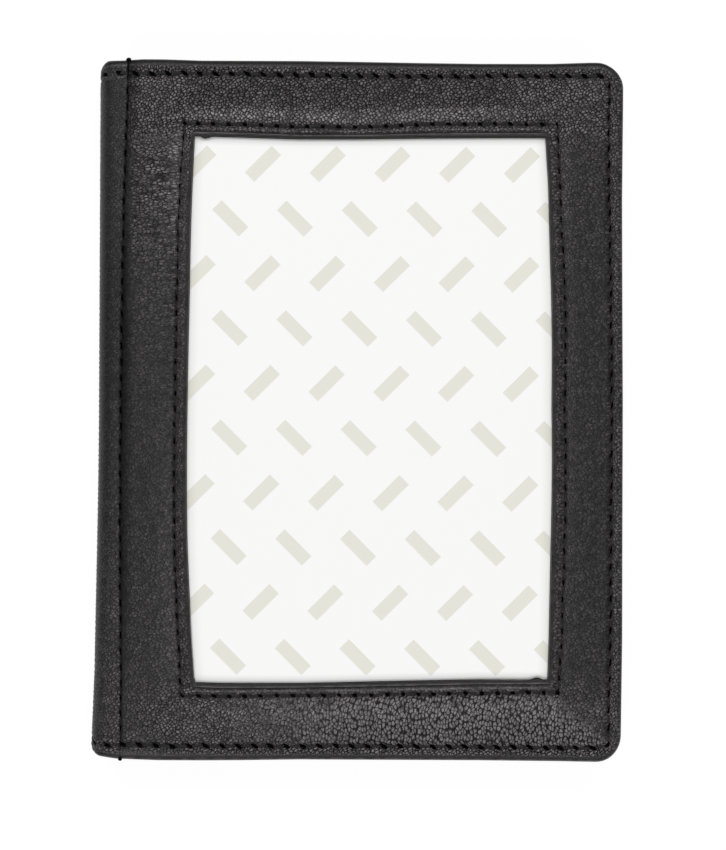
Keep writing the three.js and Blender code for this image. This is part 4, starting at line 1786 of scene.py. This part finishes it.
# %% Release liner
liner_gap = 0.12
liner_top = 0.41
liner_thick = 0.12
liner_columns, liner_rows = 24, 40
ripple_height, ripple_length, ripple_seed = 0.05, 30, 7.0


def paper_ripple(x, y):
    """A faint ripple in the paper, in millimetres."""
    return ripple_height * noise.noise(Vector((x / ripple_length, y / ripple_length, ripple_seed)))


def liner_paper():
    """The paper sheet inside the window."""
    places = np.empty((liner_rows + 1, liner_columns + 1, 3))
    for row in range(liner_rows + 1):
        t = row / liner_rows
        y = mixed(t, window_foot + liner_gap, window_head - liner_gap)
        bow = window_bow * (1 - (2 * t - 1) ** 2)
        drift = foot_drift[0] * (1 - t)
        left, right = window_left + drift - bow + liner_gap, window_right + drift + bow - liner_gap
        for column in range(liner_columns + 1):
            x = mixed(column / liner_columns, left, right)
            places[row, column] = x, y, edge_level - liner_top + paper_ripple(x, y)
    row, column = np.indices(places.shape[:2])
    side_share = np.minimum(column, liner_columns - column) / liner_columns
    end_share = np.minimum(row, liner_rows - row) / liner_rows
    gaps = {
        "side_gap": side_share * (window_right - window_left),
        "end_gap": end_share * (window_head - window_foot),
    }
    sheet = carried_grid("liner_sheet", places, gaps)
    thicken(sheet, liner_thick)
    return sheet


liner = liner_paper()
print("liner:", [round(v / MM, 1) for v in liner.dimensions], "mm")

# %% [markdown]
# Such liners carry a pale all-over print. Here it is a plain pattern of short slanted bars that
# lean to the left and to the right by turns, in a brick layout. It is worked out from the place on
# the sheet and stays sharp at any distance, which a picture would not. Under the lip the paper is a
# little darker, because less light comes in there.

# %% Liner paper
bar_cell = (13.0, 11.0)
bar_length, bar_width = 7.6, 2.7
paper_white = (0.93, 0.93, 0.925, 1)
print_colour = (0.775, 0.765, 0.69, 1)
side_shade = (0.0, 2.2, 0.88, 1.0)
end_shade = (0.0, 1.8, 0.74, 1.0)
fibre_scale, fibre_relief = 900.0, 0.02
paper_rough, paper_gloss = 0.6, 0.3


def slanted_bars(material, place):
    """1 on the bars of the print, 0 between them."""
    split = grow(material, "SeparateXYZ", {0: place})
    row = product(material, split.outputs["Y"], 1 / (bar_cell[1] * MM))
    parity = math_node(material, "FLOORED_MODULO", math_node(material, "FLOOR", row), 2.0)
    column = product(material, split.outputs["X"], 1 / (bar_cell[0] * MM))
    column = math_node(material, "MULTIPLY_ADD", parity, 0.5, column)
    across, along = (
        product(material, math_node(material, "SUBTRACT", fraction, 0.5), size)
        for fraction, size in zip(
            (math_node(material, "FRACT", count) for count in (column, row)), bar_cell
        )
    )
    lean = product(material, along, math_node(material, "MULTIPLY_ADD", parity, -2.0, 1.0))
    inside = []
    for operation, size in (("ADD", bar_length), ("SUBTRACT", bar_width)):
        off = product(material, math_node(material, operation, across, lean), math.sqrt(0.5))
        off = math_node(material, "ABSOLUTE", off)
        inside.append(math_node(material, "LESS_THAN", off, size / 2))
    return product(material, *inside)


def printed_paper(name):
    """White coated paper with a pale pattern of slanted bars."""
    material, output = new_material(name)
    place = object_place(material)
    normal = bumped(material, noise_at(material, place, fibre_scale, 3.0), fibre_relief, 0.3)
    colour = colour_mix(material, slanted_bars(material, place), paper_white, print_colour)
    sides = ramp(material, attribute(material, "side_gap"), *side_shade)
    ends = ramp(material, attribute(material, "end_gap"), *end_shade)
    shaded = scaled(material, colour, product(material, sides, ends))
    extra = {"Specular IOR Level": paper_gloss}
    return surface(material, output, shaded, paper_rough, normal, extra)


printed = printed_paper("liner_paper")
dress(liner, printed)
print("liner paper:", len(printed.node_tree.nodes), "nodes")

# %% [markdown]
# Inside the cover the leather is smoother and the lining is a plain weave. Two crossed waves are
# enough for the weave: where both threads are up the cloth is light, and where one dives it is
# dark. The pocket leather takes the pebbles of the outside, finer and all of one kind.

# %% Lining cloth and pocket leather
weave_pitch, weave_relief, weave_shade = 0.36, 0.05, 0.6
cloth_rough, cloth_sheen = 0.8, 0.15
pocket_warp = (420.0, 0.0006)
pocket_pebble, pocket_crease = (0.62, 0.62, 0.3, 0.85), 0.2
pocket_relief, pocket_rough = 0.05, 0.5


def woven_cloth(name, colour):
    """Fine plain-weave cloth."""
    material, output = new_material(name)
    split = grow(material, "SeparateXYZ", {0: object_place(material)}).outputs
    turns = (product(material, split[axis], math.pi / (weave_pitch * MM)) for axis in ("X", "Y"))
    weave = product(material, *(math_node(material, "SINE", turn) for turn in turns))
    tone = grow(material, "MapRange", {"Value": weave, "From Min": -1.0}).outputs[0]
    shade = colour_mix(material, tone, darker(colour, weave_shade), colour)
    normal = bumped(material, weave, weave_relief, 0.8)
    return surface(material, output, shade, cloth_rough, normal, {"Sheen Weight": cloth_sheen})


def smooth_leather(name):
    """Thin pocket leather with a fine, even grain."""
    material, output = new_material(name)
    place = warped_place(material, *pocket_warp)
    tops, creases, _, _ = pebbles(material, place, pocket_pebble, pocket_crease)
    # Painted shade in the creases of the pocket leather.
    colour = colour_mix(material, creases, pebble_colour, crease_shade_colour)
    return surface(material, output, colour, pocket_rough, bumped(material, tops, pocket_relief, 0.8))


lining_cloth = woven_cloth("lining_cloth", (0.02, 0.02, 0.021, 1))
pocket_leather = smooth_leather("pocket_leather")
inside_looks = {
    lining_cloth: (front_lining, back_lining),
    pocket_leather: (front_pocket, back_pocket),
    black_thread: (front_inner_row, back_inner_row),
}
for stuff, pieces in inside_looks.items():
    for piece in pieces:
        dress(piece, stuff)
    print(stuff.name, "on", [piece.name for piece in pieces])

# %% [markdown]
# The stiff parts show only at their edges: grey board and clear film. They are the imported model's
# own nodes, which already have the right shape, so they only need a plain material with a mottle.

# %% Board and film
mottle_relief = 0.03


def speckled(name, first, second, scale, roughness):
    """A plain stuff with a fine mottle."""
    material, output = new_material(name)
    mottle = noise_at(material, object_place(material), scale, 4.0)
    colour = colour_mix(material, mottle, first, second)
    return surface(material, output, colour, roughness, bumped(material, mottle, mottle_relief, 0.5))


grey_board = speckled("grey_board", (0.25, 0.24, 0.22, 1), (0.36, 0.35, 0.32, 1), 1500.0, 0.9)
clear_film = speckled("clear_film", (0.78, 0.77, 0.7, 1), (0.84, 0.83, 0.77, 1), 400.0, 0.3)
stiff_looks = {"front_board": grey_board, "back_board": grey_board, "adhesive_sheet": clear_film}
for node, stuff in stiff_looks.items():
    dress(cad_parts[node], stuff)
    print(node, "in", stuff.name)

# %% [markdown]
# Handwork strays. On the real cover no edge is quite straight: the fore edge leans out towards the
# foot, the foot edge sags near the spine, and the lip's foot runs a little downhill. The lists
# below say how far each edge strays from its straight line at a few places along it, in
# millimetres. A random wobble would be shorter to write, but it would not be this cover.

# %% How far the edges stray
edges_across = {
    spine_face: ((-70, -60, -52), (-0.5, -0.2, 0.0)),
    window_left - window_seam * lip_side_share: (
        (-57, -47, -35, -23, -11, 1, 13, 25, 37, 49, 57),
        (0.0, -0.1, -0.27, -0.35, -0.25, 0.0, 0.12, 0.16, 0.08, 0.28, 0.5),
    ),
    window_left: ((-54, -46, -26, 2, 20, 42, 54), (0.25, 0.04, -0.28, 0.02, 0.22, 0.06, 0.14)),
    window_right: (
        (-54, -46, -38, -26, 2, 30, 45, 50, 54),
        (0.8, 0.68, 0.48, 0.26, 0.2, 0.24, 0.46, 0.3, 0.24),
    ),
    window_right + window_seam: (
        (-57, -47, -35, -23, -11, 1, 13, 25, 37, 49),
        (0.4, 0.65, 0.6, 0.65, 0.6, 0.3, 0.6, 0.6, 0.25, 0.1),
    ),
    fore_edge - edge_seam: (
        (-62, -46, -26, -6, 8, 26, 38, 50, 62),
        (0.55, 0.88, 0.82, 0.9, 0.85, 0.5, 0.3, -0.05, 0.0),
    ),
    fore_edge: ((-66, -46, -26, 2, 18, 42, 62), (0.5, 0.68, 0.62, 0.56, 0.4, 0.2, 0.3)),
}
edges_along = {
    foot_edge: (
        (-52, -48, -40, -32, -24, -12, 24, 40, 47),
        (0.4, -0.15, -0.42, -0.42, -0.34, -0.12, -0.1, -0.2, -0.3),
    ),
    foot_edge + edge_seam: ((-48, -36, -26, -16, 0, 24, 44), (0.15, 0.0, 0.0, 0.05, 0.15, 0.1, -0.05)),
    window_foot - window_seam: (
        (-33, -28, -12, 0, 12, 24, 35),
        (-0.34, -0.45, -0.15, -0.05, 0.22, 0.48, 0.65),
    ),
    window_foot: ((-33, -28, -12, 0, 12, 24, 35), (-0.54, -0.68, -0.62, -0.28, 0.04, 0.34, 0.36)),
    window_head: ((-32, -24, -12, 0, 12, 24, 32), (0.3, 0.12, -0.2, -0.12, 0.1, 0.24, 0.3)),
    window_head + window_seam: ((-34, -24, -14, 2, 12, 24), (-0.1, -0.2, -0.6, -0.6, 0.0, 0.15)),
    head_edge - edge_seam: (
        (-52, -36, -26, -16, -6, 4, 14, 24, 34, 44),
        (0.06, 0.1, 0.1, -0.08, -0.16, -0.22, -0.3, -0.12, -0.08, 0.0),
    ),
    head_edge: (
        (-52, -48, -44, -40, -32, -12, 0, 12, 24, 38, 46),
        (0.1, 0.12, 0.42, 0.42, 0.2, 0.22, 0.1, -0.06, -0.16, -0.1, 0.18),
    ),
}
widest = max(abs(shift) for _, shifts in edges_across.values() for shift in shifts)
print("edges across stray by up to", widest, "mm")

# %% [markdown]
# Leather, stitches and liner all move with the straying edges, and a point between two edges moves
# by a mix of the two, so that nothing comes apart. A lattice could do this too, but it has no place
# for edges at odd distances. The spine's face is also made a little rough, because its grain shows
# there in the outline.

# %% Let the edges stray
spine_rough, spine_skin, skin_fade = 0.05, 0.6, 0.4
rough_wave, rough_drift, drift_size = 6.6, 0.8, 2


def strayed(edges, where, along):
    """Shift of points that lie at a place across some edges, by their place along those edges."""
    places = np.array(list(edges))
    shifts = np.array([np.interp(along, *table) for table in edges.values()])
    last = np.clip(np.searchsorted(places, where), 1, len(places) - 1)
    share = np.clip((where - places[last - 1]) / (places[last] - places[last - 1]), 0, 1)
    points = np.arange(len(where))
    return shifts[last - 1, points] * (1 - share) + shifts[last, points] * share


def stray(obj):
    """Moves a finished piece with the straying edges."""
    places = places_of(obj)
    x, y = places[:, 0].copy(), places[:, 1].copy()
    places[:, 0] += strayed(edges_across, x, y)
    places[:, 1] += strayed(edges_along, y, x)
    move_points(obj, places)


def roughen_spine(panel):
    """Raises the grain on the spine's face, in waves of about a millimetre that drift."""
    places = places_of(panel)
    x, y, z = places.T
    facing = fall(x, spine_face + spine_skin, skin_fade)
    drift = drift_size * np.sin(rough_drift * y) + rough_drift * z
    places[:, 0] -= spine_rough * facing * np.sin(rough_wave * y + drift)
    move_points(panel, places)


for panel in (front_panel, back_panel):
    roughen_spine(panel)
outer_rows = (front_edge_row, window_stitches, front_spine_row, back_edge_row, back_spine_row)
straying = (front_panel, back_panel, liner, *outer_rows, front_inner_row, back_inner_row)
for piece in straying:
    stray(piece)
print("pieces that stray:", len(straying))

# %% [markdown]
# Last, every piece is tied to the body that carries it. Leather, lining and thread that cross a
# fold bend between two bodies, because a rigid tie would tear them there. The imported nodes that
# each piece stands for are hidden.

# %% Tie the pieces to the moving bodies
front_fold_bend = (
    Vector((spine_face, 0, edge_level - fold_radius)) * MM,
    Vector((fold_start, 0, edge_level)) * MM,
)
back_fold_bend = tuple(Vector((p.x, p.y, thickness * MM - p.z)) for p in reversed(front_fold_bend))


def bends(piece, bodies, bend, nodes):
    """Ties a piece across a fold and hides the imported nodes that it stands for."""
    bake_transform(piece, *bodies, start=bend[0], end=bend[1])
    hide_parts(*nodes)


def rides(piece, body, nodes=()):
    """Ties a piece to one body and hides the imported nodes that it stands for, if any."""
    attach(piece, body)
    if nodes:
        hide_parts(*nodes)


over_front = ("spine", "front_cover")
over_back = ("back_cover", "spine")
front_stands_for = ["front_leather", "front_foam", "spine_leather"]
bends(front_panel, over_front, front_fold_bend, front_stands_for)
bends(back_panel, over_back, back_fold_bend, ["back_leather", "back_foam"])
bends(front_edge_row, over_front, front_fold_bend, ["front_edge_thread"])
bends(back_edge_row, over_back, back_fold_bend, ["back_edge_thread"])
bends(front_lining, over_front, front_fold_bend, ["front_lining", "spine_lining"])
bends(back_lining, over_back, back_fold_bend, ["back_lining"])
rides(window_stitches, "front_cover", ["window_thread"])
rides(front_spine_row, "front_cover", ["front_spine_thread"])
rides(back_spine_row, "back_cover", ["back_spine_thread"])
rides(front_inner_row, "front_cover")
rides(back_inner_row, "back_cover")
rides(front_pocket, "front_cover", ["front_pocket_flap", "front_pocket_hem"])
rides(back_pocket, "back_cover", ["back_pocket_flap", "back_pocket_hem"])
rides(liner, "liner", ["release_liner"])

# %% [markdown]
# The dressed cover has to fill the box of the imported model, or the two would not be one part; here the
# scene is only brought up to date.

# %% Update the scene
bpy.context.view_layer.update()
